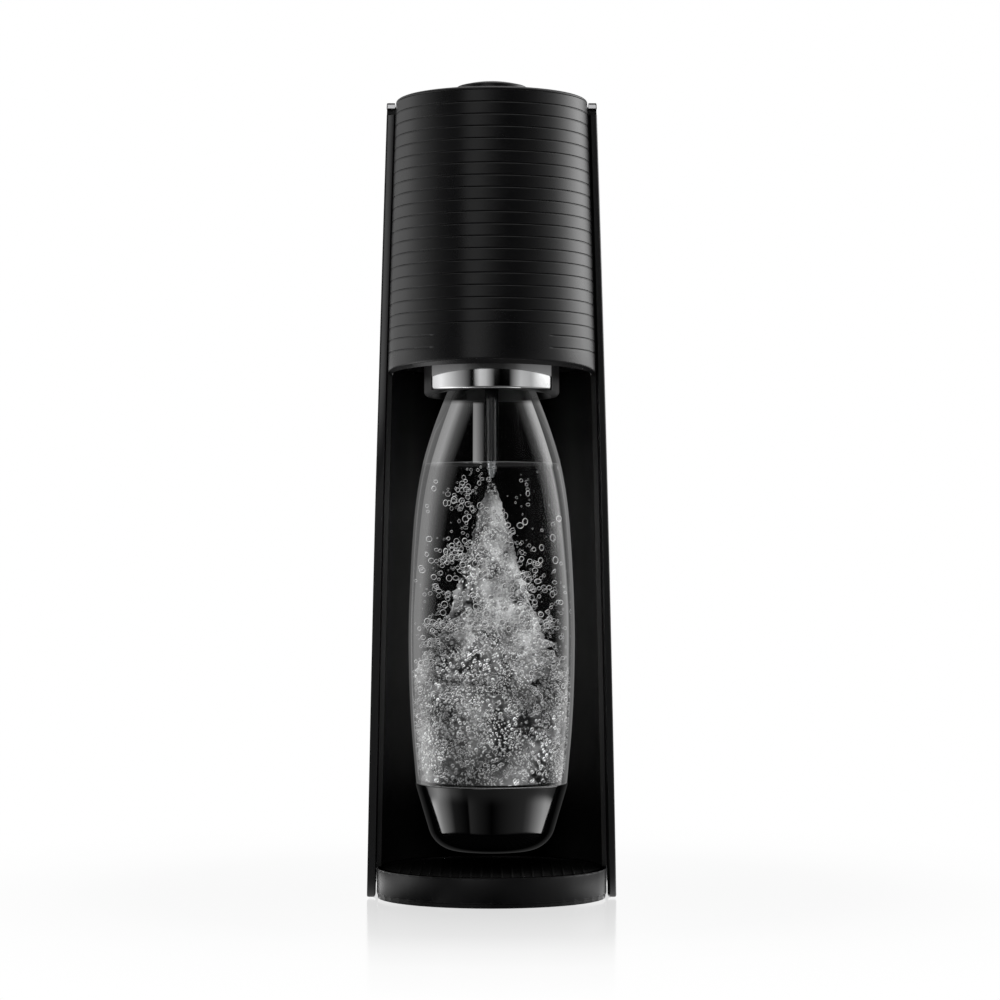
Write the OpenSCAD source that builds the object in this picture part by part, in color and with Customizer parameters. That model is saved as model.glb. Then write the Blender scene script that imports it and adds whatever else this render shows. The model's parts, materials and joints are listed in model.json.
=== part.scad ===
// Counter-top soda carbonator: housing, gas cylinder, press button, tilting bottle holder and bottle.
// Millimetres. +Z up, the front faces -Y, the origin is the centre of the footprint at counter level.

/* [Body] */
// Width of the body at the counter
body_w = 128.2; // [120:0.2:136]
// Width of the body at its top
top_w = 108.6; // [104:0.2:114]
// How far the sides bow outwards at mid height
side_bulge = 0.8; // [0:0.1:1.5]
// Depth of the body, front of the plinth to the rear cover
body_d = 182; // [180:1:190]
// Height of the side panels
panel_h = 410.3; // [408:0.1:411]
// Wall of the side panels
panel_t = 2.6; // [2:0.1:3]
// Thickness of the front lip of a side panel
lip_t = 4.3; // [4:0.1:5]
// How far the front lips stand behind the front of the plinth
lip_setback = 50; // [48:1:52]
// How far the rear cover leans forward at its top
back_lean = 4; // [0:0.5:6]

/* [Base] */
// Height of the plinth rim
plinth_h = 16; // [15:0.5:17]
// Height of the feet below the plinth
foot_h = 1; // [1:0.5:2]
// Number of fine ribs on the drip mat
mat_ribs = 19; // [9:2:21]

/* [Head] */
// Height of the lower rim of the head at the side panels
head_z = 269.8; // [269:0.1:271]
// How much the lower rim rises towards the front
rim_rise = 3.8; // [0:0.2:4]
// Gap between the head and the outside of a side panel
head_inset = 4.9; // [4.7:0.1:5.2]
// How far the front of the head leans back at its top
head_lean = 5; // [0:0.5:7]
// Number of horizontal grooves
groove_n = 21; // [10:1:21]
// Distance between grooves
groove_pitch = 6.16; // [6:0.02:6.3]
// Depth of a groove
groove_depth = 0.7; // [0.4:0.1:1]

/* [Button] */
// Radius of the button
button_r = 18.6; // [17:0.2:20]
// Height of the top of the button
button_z = 420.6; // [420:0.2:422]
// Travel of the button
button_travel = 8; // [6:0.5:8]

/* [Bottle] */
// Largest radius of the bottle
bottle_r = 43.3; // [42:0.1:43.5]
// Height of the underside of the bottle
bottle_z = 24.5; // [24:0.5:26]
// Wall of the bottle
bottle_t = 1.5; // [1.2:0.1:2]
// Radius of the bottle neck
neck_r = 13.5; // [13:0.1:14]

/* [Gas cylinder] */
// Radius of the gas cylinder
cylinder_r = 30; // [29:0.5:30]
// Height of the underside of the gas cylinder when it is locked in
cylinder_z = 16; // [15:0.5:17]

/* [Hidden] */
$fn = 64;
gap = 0.3;
run = 0.05;                            // radial clearance of a running fit
eps = 0.01;

half_w = body_w / 2;
y_front = -body_d / 2;
y_back = body_d / 2;
y_lip = y_front + lip_setback;
y_corner = 30;                         // the sides are straight as far back as this
y_split = 56;                          // side panels in front of it, rear cover behind it
corner_pow = 2.5;                      // exponent of the rounded back in plan
edge_r = 1.8;                          // rounding of the front lips in plan

bottle_y = -36;                        // axis of the bottle
bottle_top = 286.8;
cup_top = 59;                          // top edge of the bottle's base cup
shoulder_z = 150;                      // where the bottle is widest
shoulder_l = 133.5;
flange_z = 274.5;
water_free_r = 11;                     // bore of the bottle neck

cyl_y = 51.5;                          // axis of the gas cylinder
cyl_drop = 5;                          // how far the cylinder sinks when its lever is lifted
lever_z = 362;                         // pivot of the quick-connect lever
lever_rest = -45;                      // angle of the closed lever, below horizontal
lever_l = 25;

bay_y = -38;                           // centre of the bottle bay in plan
bay_d = 55;                            // depth of the bottle bay behind its centre
bay_t = 2.4;
bay_top = 272.2;

head_top = 409.2;
head_t = 2.4;
lid_top = 411.6;
lid_back = 22;
first_groove = 403.2;
badge_half = 34;                       // half angle of the plain field below the grooves
badge_grooves = 2;

pivot_z = 287;                         // axis of the tilting bottle holder
holder_r = 35;
holder_in = 31;
holder_low = 258;
holder_top = 294;

button_y = y_lip;
arm_z = 381;                           // underside of the actuator arm
arm_t = 5;
arm_pivot_y = 64;
arm_pivot_z = arm_z + arm_t / 2;

plate_z = 371;                         // shelf that carries the valve
plate_t = 3;

function lerp(a, b, t) = a + (b - a) * t;
function flat(l) = [for (a = l) for (b = a) b];
function at(ring, z) = [for (p = ring) [p[0], p[1], z]];
function rev(l) = [for (i = [len(l) - 1 : -1 : 0]) l[i]];

// Outside half width of the body at height z
function hw(z) = let (t = z / panel_h)
    lerp(half_w, top_w / 2, t) + 4 * side_bulge * t * (1 - t);
function hx(z) = hw(z) - head_inset;
function back_y(z) = y_back - back_lean * z / panel_h;
function head_b(z) = lip_setback - head_lean * max(0, z - head_z) / (head_top - head_z);

// One point of the rounded back: u runs from 0 at the side to 90 at the middle
function back_pt(z, inset, u) = [
    (hw(z) - inset) * pow(cos(u), 2 / corner_pow),
    y_corner + (back_y(z) - inset - y_corner) * pow(sin(u), 2 / corner_pow)];
// The u at which the rounded back crosses y
function back_u(z, inset, y) = asin(pow((y - y_corner) / (back_y(z) - inset - y_corner), corner_pow / 2));

// Solid through closed rings of points, listed upwards, each counter-clockwise seen from above
module loft(rings) {
    n = len(rings[0]);
    m = len(rings);
    polyhedron(points = flat(rings), faces = concat(
        [[for (i = [0 : n - 1]) i]],
        [for (j = [0 : m - 2]) for (i = [0 : n - 1])
            [j * n + i, (j + 1) * n + i, (j + 1) * n + (i + 1) % n]],
        [for (j = [0 : m - 2]) for (i = [0 : n - 1])
            [j * n + i, (j + 1) * n + (i + 1) % n, j * n + (i + 1) % n]],
        [[for (i = [n - 1 : -1 : 0]) (m - 1) * n + i]]), convexity = 6);
}

// Wall between two stacks of open paths, each path counter-clockwise seen from above
module band(outer, inner) {
    n = len(outer[0]);
    m = len(outer);
    k = n * m;
    polyhedron(points = concat(flat(outer), flat(inner)), faces = concat(
        [for (j = [0 : m - 2]) for (i = [0 : n - 2])
            [j * n + i, (j + 1) * n + i, (j + 1) * n + i + 1]],
        [for (j = [0 : m - 2]) for (i = [0 : n - 2])
            [j * n + i, (j + 1) * n + i + 1, j * n + i + 1]],
        [for (j = [0 : m - 2]) for (i = [0 : n - 2])
            [k + j * n + i, k + j * n + i + 1, k + (j + 1) * n + i + 1]],
        [for (j = [0 : m - 2]) for (i = [0 : n - 2])
            [k + j * n + i, k + (j + 1) * n + i + 1, k + (j + 1) * n + i]],
        [for (i = [0 : n - 2]) [i, i + 1, k + i + 1]],
        [for (i = [0 : n - 2]) [i, k + i + 1, k + i]],
        [for (i = [0 : n - 2]) [k - n + i, 2 * k - n + i, 2 * k - n + i + 1]],
        [for (i = [0 : n - 2]) [k - n + i, 2 * k - n + i + 1, k - n + i + 1]],
        [for (j = [0 : m - 2]) [k + j * n, k + (j + 1) * n, (j + 1) * n]],
        [for (j = [0 : m - 2]) [k + j * n, (j + 1) * n, j * n]],
        [for (j = [0 : m - 2]) [j * n + n - 1, (j + 1) * n + n - 1, k + (j + 1) * n + n - 1]],
        [for (j = [0 : m - 2]) [j * n + n - 1, k + (j + 1) * n + n - 1, k + j * n + n - 1]]),
        convexity = 6);
}

// Tube of radius r along a list of points
module sweep(pts, r, sides = 8) {
    m = len(pts);
    rings = [for (i = [0 : m - 1])
        let (d = pts[min(i + 1, m - 1)] - pts[max(i - 1, 0)], t = d / norm(d),
             ref = abs(t[2]) < 0.9 ? [0, 0, 1] : [0, 1, 0],
             a = cross(t, ref) / norm(cross(t, ref)), b = cross(t, a))
        [for (k = [0 : sides - 1])
            pts[i] + r * (cos(360 * k / sides) * a + sin(360 * k / sides) * b)]];
    loft([for (ring = rings) ring]);
}

module ring(r_out, r_in, z0, z1) {
    difference() {
        translate([0, 0, z0]) cylinder(r = r_out, h = z1 - z0);
        translate([0, 0, z0 - 1]) cylinder(r = r_in, h = z1 - z0 + 2);
    }
}

module x_rod(r, x0, x1) {
    translate([x0, 0, 0]) rotate([0, 90, 0]) cylinder(r = r, h = x1 - x0);
}

module both_sides() {
    children();
    mirror([1, 0, 0]) children();
}

// Pan-head screw, head down, its tip at +Z
module screw(len, r = 1.5, head_r = 3, head_h = 1.8) {
    difference() {
        union() {
            cylinder(r = head_r, h = head_h);
            cylinder(r = r, h = len);
        }
        translate([0, 0, -1]) cylinder(r = 1.3, h = 2, $fn = 6);
    }
}

// ---------- outer shells ----------

// Plan of the right side panel at height z, its walls moved in by e
function panel_ring(z, e = 0) =
    let (w = hw(z), u1 = back_u(z, e, y_split - e), u2 = back_u(z, panel_t - e, y_split - e), r = edge_r)
    [for (p = concat(
        [for (a = [-90 : 30 : 0]) [w - e - r + r * cos(a), y_lip + e + r + r * sin(a)]],
        [for (i = [0 : 7]) back_pt(z, e, u1 * i / 7)],
        [for (i = [7 : -1 : 0]) back_pt(z, panel_t - e, u2 * i / 7)],
        [[w - panel_t + e, y_lip + 9], [w - lip_t + e, y_lip + 6]],
        [for (a = [180 : 30 : 270]) [w - lip_t + e + r + r * cos(a), y_lip + e + r + r * sin(a)]]))
     [p[0], p[1], z]];

module side_panel() {
    soft = 0.8;
    loft(concat(
        [for (i = [0 : 7]) panel_ring(lerp(0.6, panel_h - soft, i / 7))],
        [panel_ring(panel_h, soft * 0.6)]));
    // rib that closes the gap beside the head
    loft([for (i = [0 : 4]) let (z = lerp(277.2, 408.6, i / 4), w = hw(z))
        [[w - 7.2, y_lip + 3.6, z], [w - 3.2, y_lip + 3.6, z], [w - 3.2, y_lip + 5.4, z], [w - 7.2, y_lip + 5.4, z]]]);
}

module right_side_panel() {
    color("#1b1b1c") side_panel();
}

module left_side_panel() {
    color("#1b1b1c") mirror([1, 0, 0]) side_panel();
}

// Plan path of the rounded back at height z, right to left round the back
function cover_path(z, inset, y) =
    let (u1 = back_u(z, inset, y), half = [for (i = [0 : 8]) back_pt(z, inset, lerp(u1, 90, i / 8))])
    [for (p = concat(half, [for (i = [7 : -1 : 0]) [-half[i][0], half[i][1]]])) [p[0], p[1], z]];

module rear_cover() {
    low = 6;
    high = 409.7;
    zs = [for (i = [0 : 6]) lerp(low, high, i / 6)];
    color("#1b1b1c") difference() {
        band([for (z = zs) cover_path(z, 0, y_split + gap)],
             [for (z = zs) cover_path(z, panel_t, y_split + gap)]);
        // finger hollow at the top edge
        translate([0, back_y(high) + 4, high]) rotate([90, 0, 0]) cylinder(r = 14, h = 12);
    }
}

// Spring catch that holds the top of the rear cover
module rear_cover_catch() {
    color("#2a2a2b") {
        translate([-9, 79.5, 384]) cube([18, 4.7, 3.1]);
        translate([-9, 79.5, 387]) cube([18, 1.6, 15.55]);
    }
}

module top_deck() {
    z0 = 402.6;
    inside = panel_t + gap + 0.3;
    plan = function (e) let (right = concat(
        [[hw(z0) - inside - e, lid_back + 0.4 + e]],
        [for (i = [0 : 8]) back_pt(z0, inside + e, 10 * i)]))
        concat(right, [[0, back_y(z0) - inside - e]],
               [for (i = [len(right) - 1 : -1 : 0]) [-right[i][0], right[i][1]]]);
    color("#1b1b1c") difference() {
        loft([at(plan(0), z0), at(plan(0), panel_h - 1.5), at(plan(0.6), panel_h - 0.6)]);
        translate([-40, lid_back + 3, z0 - 1]) cube([80, 44, 4.4]);
    }
}

// ---------- base ----------

// Half ellipse in front of y_lip, then back between the panels
function plinth_plan(e) = concat(
    [for (a = [180 : 7.5 : 360]) [(hw(plinth_h) - lip_t - 0.6 - e) * cos(a), y_lip + (lip_setback - e) * sin(a)]],
    [for (i = [0 : 8]) let (p = back_pt(plinth_h, lip_t + 0.6 + e, 90 * i / 8)) [p[0], p[1]]],
    [for (i = [7 : -1 : 0]) let (p = back_pt(plinth_h, lip_t + 0.6 + e, 90 * i / 8)) [-p[0], p[1]]]);

// Oval plan of the drip mat pocket
function bay_plan(e) = concat(
    [for (a = [180 : 7.5 : 360]) [(half_w - lip_t - 4 - e) * cos(a), y_lip + (lip_setback - 3.5 - e) * sin(a)]],
    [for (a = [0 : 7.5 : 180]) [(half_w - lip_t - 4 - e) * cos(a), bay_y + (bay_d - 3.5 - e) * sin(a)]]);

foot_at = [for (x = [-42, 42]) for (y = [-52, 62]) [x * (y < 0 ? 0.85 : 0.8), y]];
base_screw_at = [[-30, -68], [30, -68], [-44, 31], [44, 31]];

module base_plinth() {
    floor_z = 9;
    color("#202021") difference() {
        translate([0, 0, foot_h + 2.2]) linear_extrude(plinth_h - foot_h - 2.2) polygon(plinth_plan(0));
        // pocket of the drip mat
        translate([0, 0, plinth_h - 2.5]) linear_extrude(4) polygon(bay_plan(0));
        // floor of the cylinder bay behind the bottle bay
        translate([0, 0, floor_z]) linear_extrude(20) difference() {
            polygon(plinth_plan(3));
            translate([-80, -100]) square([160, 120]);
        }
        // hollow underside
        translate([0, 0, -1]) linear_extrude(floor_z - 1.5) difference() {
            polygon(plinth_plan(3));
            for (p = base_screw_at) translate(p) circle(r = 5);
        }
        for (p = base_screw_at) translate([p[0], p[1], -1]) cylinder(r = 1.6, h = 9);
        // feet of the chassis and their screws
        both_sides() translate([41.7, 13.7, floor_z]) cube([8.6, 10.6, 20]);
        both_sides() translate([46, 19, 0]) cylinder(r = 1.6, h = 20);
    }
}

module drip_mat() {
    rib_w = 1.2;
    color("#19191a") {
        translate([0, 0, plinth_h - 2.4]) linear_extrude(1.2) polygon(bay_plan(0.35));
        for (i = [0 : mat_ribs - 1])
            let (x = (i - (mat_ribs - 1) / 2) * 5.2, s = sqrt(1 - pow(x / (half_w - lip_t - 6), 2)))
            translate([x - rib_w / 2, y_lip - (lip_setback - 7) * s, plinth_h - 1.3])
                cube([rib_w, (lip_setback - 7 + bay_d - 7) * s, 0.9]);
    }
}

module bottom_plate() {
    color("#161617") difference() {
        translate([0, 0, foot_h]) linear_extrude(2) polygon(plinth_plan(0.4));
        for (p = base_screw_at) translate([p[0], p[1], 0]) cylinder(r = 1.7, h = 9);
        for (p = base_screw_at) translate([p[0], p[1], 0]) cylinder(r = 3.2, h = foot_h + 1);
        for (p = foot_at) translate([p[0], p[1], 0]) cylinder(r = 8.1, h = foot_h + 1);
    }
}

module feet() {
    color("#0e0e0e") for (p = foot_at) translate([p[0], p[1], 0]) cylinder(r = 8, h = foot_h + 0.95);
}

module base_screws() {
    color("silver") for (p = base_screw_at) translate([p[0], p[1], foot_h - 0.8]) screw(7.5, 1.5, 3, 1.7);
}

// Rubber cup that the gas cylinder comes down on
module cylinder_seat() {
    color("#101010") translate([0, cyl_y, 0]) ring(24, 6, 9.05, cylinder_z - cyl_drop - 0.4);
}

// ---------- bottle bay and head ----------

function bay_path(z, e) = let (w = hw(z) - lip_t - gap - e)
    [for (a = [0 : 6 : 180]) [w * cos(a), bay_y + (bay_d + 2.4 - e) * sin(a), z]];

module cavity_wall() {
    low = plinth_h + 0.1;
    zs = [for (i = [0 : 4]) lerp(low, bay_top, i / 4)];
    color("#151516") band([for (z = zs) bay_path(z, 0)], [for (z = zs) bay_path(z, bay_t)]);
}

// Front path of the head at height z, moved in by e; rise lifts the lower rim at the front
function head_path(z, e, rise = 0, y_end = -38.6) =
    let (w = hx(z) - e, b = head_b(z) - e)
    [for (p = concat([[-w, y_end], [-w, (y_end + y_lip) / 2]],
                     [for (a = [180 : 7.5 : 360]) [w * cos(a), y_lip + b * sin(a)]],
                     [[w, (y_end + y_lip) / 2], [w, y_end]]))
     [p[0], p[1], z + rise * max(0, y_lip - p[1]) / b]];

// Front path at the bottom of groove g; the lowest grooves stop short of the plain field
function groove_path(z, g) =
    let (w = hx(z), b = head_b(z), n = badge_grooves)
    [for (p = concat([[-w, -38.6, 1], [-w, (-38.6 + y_lip) / 2, 1]],
                     [for (a = [180 : 7.5 : 360])
                         let (k = (g >= groove_n - n && abs(a - 270) < badge_half) ? 0 : 1)
                         [(w - k * groove_depth) * cos(a), y_lip + (b - k * groove_depth) * sin(a), k]],
                     [[w, (-38.6 + y_lip) / 2, 1], [w, -38.6, 1]]))
     [p[0], p[1], z]];

module head_cover() {
    groove_z = [for (i = [groove_n - 1 : -1 : 0]) first_groove - i * groove_pitch];
    lip = 0.55;
    outer = concat(
        [head_path(head_z, 0, rim_rise)],
        flat([for (i = [0 : groove_n - 1]) let (z = groove_z[i])
            [head_path(z - lip, 0), groove_path(z, groove_n - 1 - i), head_path(z + lip, 0)]]),
        [head_path(head_top, 0)]);
    inner = concat(
        [head_path(head_z, head_t, rim_rise)],
        flat([for (i = [0 : groove_n - 1]) let (z = groove_z[i])
            [head_path(z - lip, head_t), head_path(z, head_t), head_path(z + lip, head_t)]]),
        [head_path(head_top, head_t)]);
    color("#232324") band(outer, inner);
}

// Closed plan of the lid over the head
function lid_plan(z, e) = concat(
    [for (a = [180 : 7.5 : 360]) [(hx(head_top) - e) * cos(a), y_lip + (head_b(head_top) - e) * sin(a)]],
    [[hx(head_top) - e, lid_back - e], [-hx(head_top) + e, lid_back - e]]);

module top_cover() {
    color("#232324") difference() {
        loft([at(lid_plan(0, 0), head_top + 0.15), at(lid_plan(0, 0.1), head_top + 0.9),
              at(lid_plan(0, 1), head_top + 2.2), at(lid_plan(0, 2.6), lid_top)]);
        translate([0, button_y, head_top - 1]) cylinder(r = 21.1, h = 8);
    }
}

module head_chassis() {
    z0 = 273.6;
    w = hx(z0) - head_t - 0.4;
    plan = concat(
        [for (a = [180 : 7.5 : 360]) [w * cos(a), y_lip + (head_b(z0) - head_t - 0.4) * sin(a)]],
        [for (a = [0 : 7.5 : 180]) [w * cos(a), bay_y + 57 * sin(a)]]);
    color("#141415") difference() {
        union() {
            translate([0, 0, z0]) linear_extrude(3) polygon(plan);
            both_sides() translate([38.5, bottle_y - 8, z0 + 2]) cube([3, 16, 20]);
        }
        // the holder swings through this opening
        translate([0, bottle_y - 6, z0 - 1]) cylinder(r = 37, h = 5);
        translate([0, bottle_y + 6, z0 - 1]) cylinder(r = 37, h = 5);
        translate([-37, bottle_y - 6, z0 - 1]) cube([74, 12, 5]);
        both_sides() translate([0, bottle_y, pivot_z]) x_rod(2.5, 36, 43);
        both_sides() translate([43.5, -54, z0 - 1]) cylinder(r = 1.7, h = 5);
    }
}

module head_screws() {
    color("silver") both_sides() translate([43.5, -54, 271.7]) screw(9, 1.5, 3, 1.85);
}

// ---------- button ----------

module button() {
    z_edge = button_z - 3.6;
    dome_r = (pow(button_r - 1.4, 2) + pow(3.6 - 1, 2)) / (2 * (3.6 - 1));
    color("#2b2b2c") translate([0, button_y, 0]) {
        rotate_extrude() polygon(concat(
            [[0, button_z - 2.6]],
            [[button_r - 2, z_edge - 1.6], [button_r - 2, 404.6], [button_r, 404.6], [button_r, z_edge]],
            [for (a = [0 : 15 : 90]) [button_r - 1.4 + 1.4 * cos(a), z_edge + 1 * sin(a)]],
            [for (i = [5 : -1 : 0]) let (r = (button_r - 1.4) * i / 6)
                [r, button_z - dome_r + sqrt(dome_r * dome_r - r * r)]]));
        translate([0, 0, arm_z + arm_t + gap]) cylinder(r = 4, h = button_z - 2 - gap - arm_z - arm_t);
    }
}

module button_guide() {
    color("#161617") translate([0, button_y, 0]) {
        ring(21, button_r + 0.2, 394, lid_top + 0.4);
        ring(22.6, button_r + 0.2, lid_top + 0.05, lid_top + 0.9);
        ring(button_r + 1, 4.3, 394, 396);
    }
}

module button_spring() {
    turns = 5;
    steps = 16;
    z0 = 396.9;
    rise = 17.9;
    color("silver") translate([0, button_y, 0])
        sweep([for (i = [0 : turns * steps]) let (a = 360 * i / steps)
            [12.5 * cos(a), 12.5 * sin(a), z0 + rise * i / (turns * steps)]], 0.7, 6);
}

module actuator_arm() {
    color("#3a3a3c") difference() {
        union() {
            translate([-5, button_y - 6, arm_z]) cube([10, arm_pivot_y - button_y + 6, arm_t]);
            translate([0, arm_pivot_y, arm_pivot_z]) x_rod(4.5, -5, 5);
            translate([0, button_y, arm_z]) cylinder(r = 8, h = arm_t);
        }
        translate([0, arm_pivot_y, arm_pivot_z]) x_rod(2 + run, -6, 6);
    }
}

module actuator_pin() {
    color("silver") translate([0, arm_pivot_y, arm_pivot_z]) x_rod(2, -26, 26);
}

// ---------- frame, valve and gas cylinder ----------

module chassis_frame() {
    color("#2e2f30") difference() {
        union() {
            translate([-50, 14, plate_z]) cube([100, 37, plate_t]);
            translate([-43, 14, plate_z]) cube([86, 45, plate_t]);
            both_sides() translate([22.5, 50, plate_z]) cube([15, 20, plate_t]);
            both_sides() translate([42, 14, 9.1]) cube([8, 10, plate_z - 9]);
            both_sides() translate([22.5, 58, plate_z]) cube([3, 12, 17.5]);
        }
        translate([0, cyl_y, plate_z - 1]) cylinder(r = 17.8, h = 6);
        translate([0, arm_pivot_y, arm_pivot_z]) x_rod(2 + run, -27, 27);
        both_sides() translate([46, 19, -1]) cylinder(r = 1.6, h = 24);
        both_sides() translate([24, 36, plate_z - 1]) cylinder(r = 1.6, h = 6);
    }
}

module chassis_screws() {
    color("silver") both_sides() translate([46, 19, 4.75]) screw(12, 1.5, 3, 1.7);
}

module valve_housing() {
    color("#4a4b4d") translate([0, cyl_y, 0]) difference() {
        union() {
            translate([0, 0, 350]) cylinder(r = 17.5, h = 26);
            translate([0, 0, plate_z + plate_t + 0.05]) cylinder(r = 21, h = 2.4);
            both_sides() translate([24, -15.5, plate_z + plate_t + 0.05]) cylinder(r = 4.5, h = 2.4);
            both_sides() translate([19, -12, plate_z + plate_t + 0.05]) cube([6, 8, 2.4]);
            translate([0, -16, 362]) rotate([90, 0, 0]) cylinder(r = 6, h = 5);
        }
        translate([0, 0, 349]) cylinder(r = 11.6, h = 20.4);
        translate([0, 0, 349]) cylinder(r = 15.4, h = 6);
        translate([0, 0, 360]) cylinder(r = 1.95, h = 20);
        translate([0, 0, lever_z]) x_rod(2 + run, 13, 18);
        translate([0, 0, lever_z]) x_rod(2 + run, -18, -13);
        translate([0, -10, 362]) rotate([90, 0, 0]) cylinder(r = 2, h = 14);
        both_sides() translate([24, -15.5, 370]) cylinder(r = 1.7, h = 8);
    }
}

module valve_screws() {
    color("silver") both_sides() translate([24, 36, plate_z + plate_t + 2.5 + 1.85])
        rotate([180, 0, 0]) screw(8, 1.5, 3, 1.8);
}

module valve_seal() {
    color("#7a2b2b") translate([0, cyl_y, 0]) ring(9.5, 4, 367.4, 369.3);
}

module lever_pins() {
    color("silver") translate([0, cyl_y, lever_z]) both_sides() x_rod(2, 13.1, 23);
}

module quick_connect_lever() {
    color("#b9bec2") translate([0, cyl_y, lever_z]) rotate([lever_rest, 0, 0]) difference() {
        union() {
            both_sides() x_rod(5, 18.3, 21.8);
            both_sides() translate([18.3, 0, -2.5]) cube([3.5, lever_l, 5]);
            translate([0, lever_l, 0]) x_rod(2.6, -21.8, 21.8);
        }
        x_rod(2 + run, 17, 23);
        x_rod(2 + run, -23, -17);
    }
}

module co2_cylinder() {
    wall = 2.5;
    shoulder = 282;
    dome = 34;
    neck = 14;
    z0 = cylinder_z;
    color("#c3c6c8") translate([0, cyl_y, 0]) rotate_extrude() polygon(concat(
        [[0, z0 + 3], [cylinder_r - 14, z0 + 3], [cylinder_r - 11, z0], [cylinder_r - 5, z0]],
        [for (a = [-90 : 15 : 0]) [cylinder_r - 5 + 5 * cos(a), z0 + 5 + 5 * sin(a)]],
        [for (a = [0 : 9 : 90]) [neck + (cylinder_r - neck) * cos(a), shoulder + dome * sin(a)]],
        [[neck, 333], [9, 333], [9, shoulder + 20]],
        [for (a = [90 : -9 : 0]) [9 + (cylinder_r - wall - 9) * cos(a), shoulder + (dome - wall) * sin(a) - 12]],
        [[cylinder_r - wall, z0 + 9], [cylinder_r - wall - 6, z0 + 6], [0, z0 + 6]]));
}

module cylinder_valve() {
    color("#b5904a") translate([0, cyl_y, 0]) difference() {
        union() {
            translate([0, 0, 306]) cylinder(r = 8.9, h = 30);
            translate([0, 0, 333.1]) cylinder(r = 11.5, h = 34);
        }
        translate([0, 0, 300]) cylinder(r = 1.7, h = 70);
        translate([0, 0, 303]) cylinder(r = 4, h = 50);
    }
}

module cylinder_collar() {
    color("#9aa0a4") translate([0, cyl_y, 0]) difference() {
        ring(14, 11.6, 333.2, 348);
        for (a = [0 : 45 : 315]) rotate(a) translate([14.6, 0, 333]) cylinder(r = 1.4, h = 11);
    }
}

module valve_pin() {
    color("silver") translate([0, cyl_y, 0]) {
        translate([0, 0, 355]) cylinder(r = 1.6, h = arm_z - 0.5 - 355);
        translate([0, 0, 350]) cylinder(r = 3.6, h = 2.8);
        translate([0, 0, 352]) cylinder(r = 1.6, h = 4);
    }
}

// ---------- tilting bottle holder ----------

module bottle_holder() {
    color("#171718") translate([0, bottle_y, 0]) difference() {
        union() {
            ring(holder_r, holder_in, holder_low, holder_top);
            ring(holder_in + 1, 16, holder_top - 3, holder_top);
            both_sides() translate([0, 0, pivot_z]) x_rod(6, holder_in + 1, 38.2);
        }
        // recess of the chrome band
        difference() {
            ring(holder_r + 1, holder_r - 1.25, holder_low + 2.4, holder_top + 1);
            rotate(-90 + 61) translate([-80, 0, 200]) cube([160, 80, 120]);
            rotate(90 - 61) translate([-80, 0, 200]) cube([160, 80, 120]);
        }
        // the lower rim is higher in front
        translate([-40, -holder_r - 5, holder_low + 2.4]) rotate([-5.2, 0, 0])
            translate([0, 0, -20]) cube([80, holder_r + 5, 20]);
        both_sides() translate([0, 0, pivot_z]) x_rod(2.5 + run, 33.6, 40);
    }
}

module chrome_band() {
    color("#e6e7e8") translate([0, bottle_y, 0]) intersection() {
        ring(holder_r + 0.25, holder_r - 1.15, holder_low + 2.6, holder_top - 0.2);
        linear_extrude(400) polygon(concat([[0, 0]],
            [for (a = [-90 - 59.6 : 14.9 : -90 + 59.7]) [80 * cos(a), 80 * sin(a)]]));
    }
}

module neck_clamp() {
    color("#2a2b2c") translate([0, bottle_y, 0]) difference() {
        ring(holder_in - 0.1, 18, 277.5, 281.5);
        both_sides() translate([24.5, 0, 276]) cylinder(r = 3, h = 8);
    }
}

module carbonation_block() {
    color("#3b3c3e") translate([0, bottle_y, 0]) difference() {
        union() {
            translate([0, 0, 290.2]) cylinder(r = 15.8, h = 24);
            translate([0, 0, holder_top + 0.05]) cylinder(r = 21, h = 4);
            translate([-24, -7, holder_top + 0.05]) cube([24, 14, 14]);
        }
        translate([0, 0, 288]) cylinder(r = 3.2, h = 12);
        translate([0, 0, 288]) cylinder(r = 1.5, h = 20);
        translate([-9, 0, 308]) cylinder(r = 2.6, h = 10);
        translate([8, 0, 308]) cylinder(r = 2.6, h = 10);
        translate([0, 0, 301]) x_rod(1.5, -25, 0);
    }
}

module bottle_seal() {
    color("#8a8d90") translate([0, bottle_y, 0]) ring(15, 8, bottle_top + gap, 290.1);
}

module nozzle_tube() {
    color("#303133") translate([0, bottle_y, 0]) difference() {
        union() {
            translate([0, 0, 226]) cylinder(r = 3.1, h = 70);
            translate([0, 0, 283]) cylinder(r = 6, h = 7);
            for (a = [0 : 45 : 315]) rotate(a) translate([3.05, 0, 232]) cylinder(r = 0.45, h = 50);
        }
        translate([0, 0, 225]) cylinder(r = 1.6, h = 80);
    }
}

module nozzle_tip() {
    color("#d0d2d4") translate([0, bottle_y, 0]) rotate_extrude()
        polygon([[0.4, 216], [1.1, 216], [1.9, 218], [1.9, 220.5], [2.6, 221], [2.6, 225.9], [1.55, 225.9],
                 [1.55, 236], [0.8, 236], [0.8, 222], [0.4, 220]]);
}

module relief_valve() {
    color("#c8a04a") translate([-9, bottle_y, 0]) {
        translate([0, 0, 309]) cylinder(r = 2.55, h = 6);
        translate([0, 0, 314.3]) cylinder(r = 5, h = 4, $fn = 6);
        translate([0, 0, 318]) cylinder(r = 3.5, h = 8);
    }
}

module burst_disc_plug() {
    color("#c8a04a") translate([8, bottle_y, 0]) {
        translate([0, 0, 309]) cylinder(r = 2.55, h = 6);
        translate([0, 0, 314.3]) cylinder(r = 5.5, h = 5, $fn = 6);
    }
}

module pivot_pins() {
    color("silver") both_sides() translate([0, bottle_y, pivot_z]) difference() {
        x_rod(2.5, 33.8, 42.2);
        x_rod(1, 33, 43);
    }
}

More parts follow.
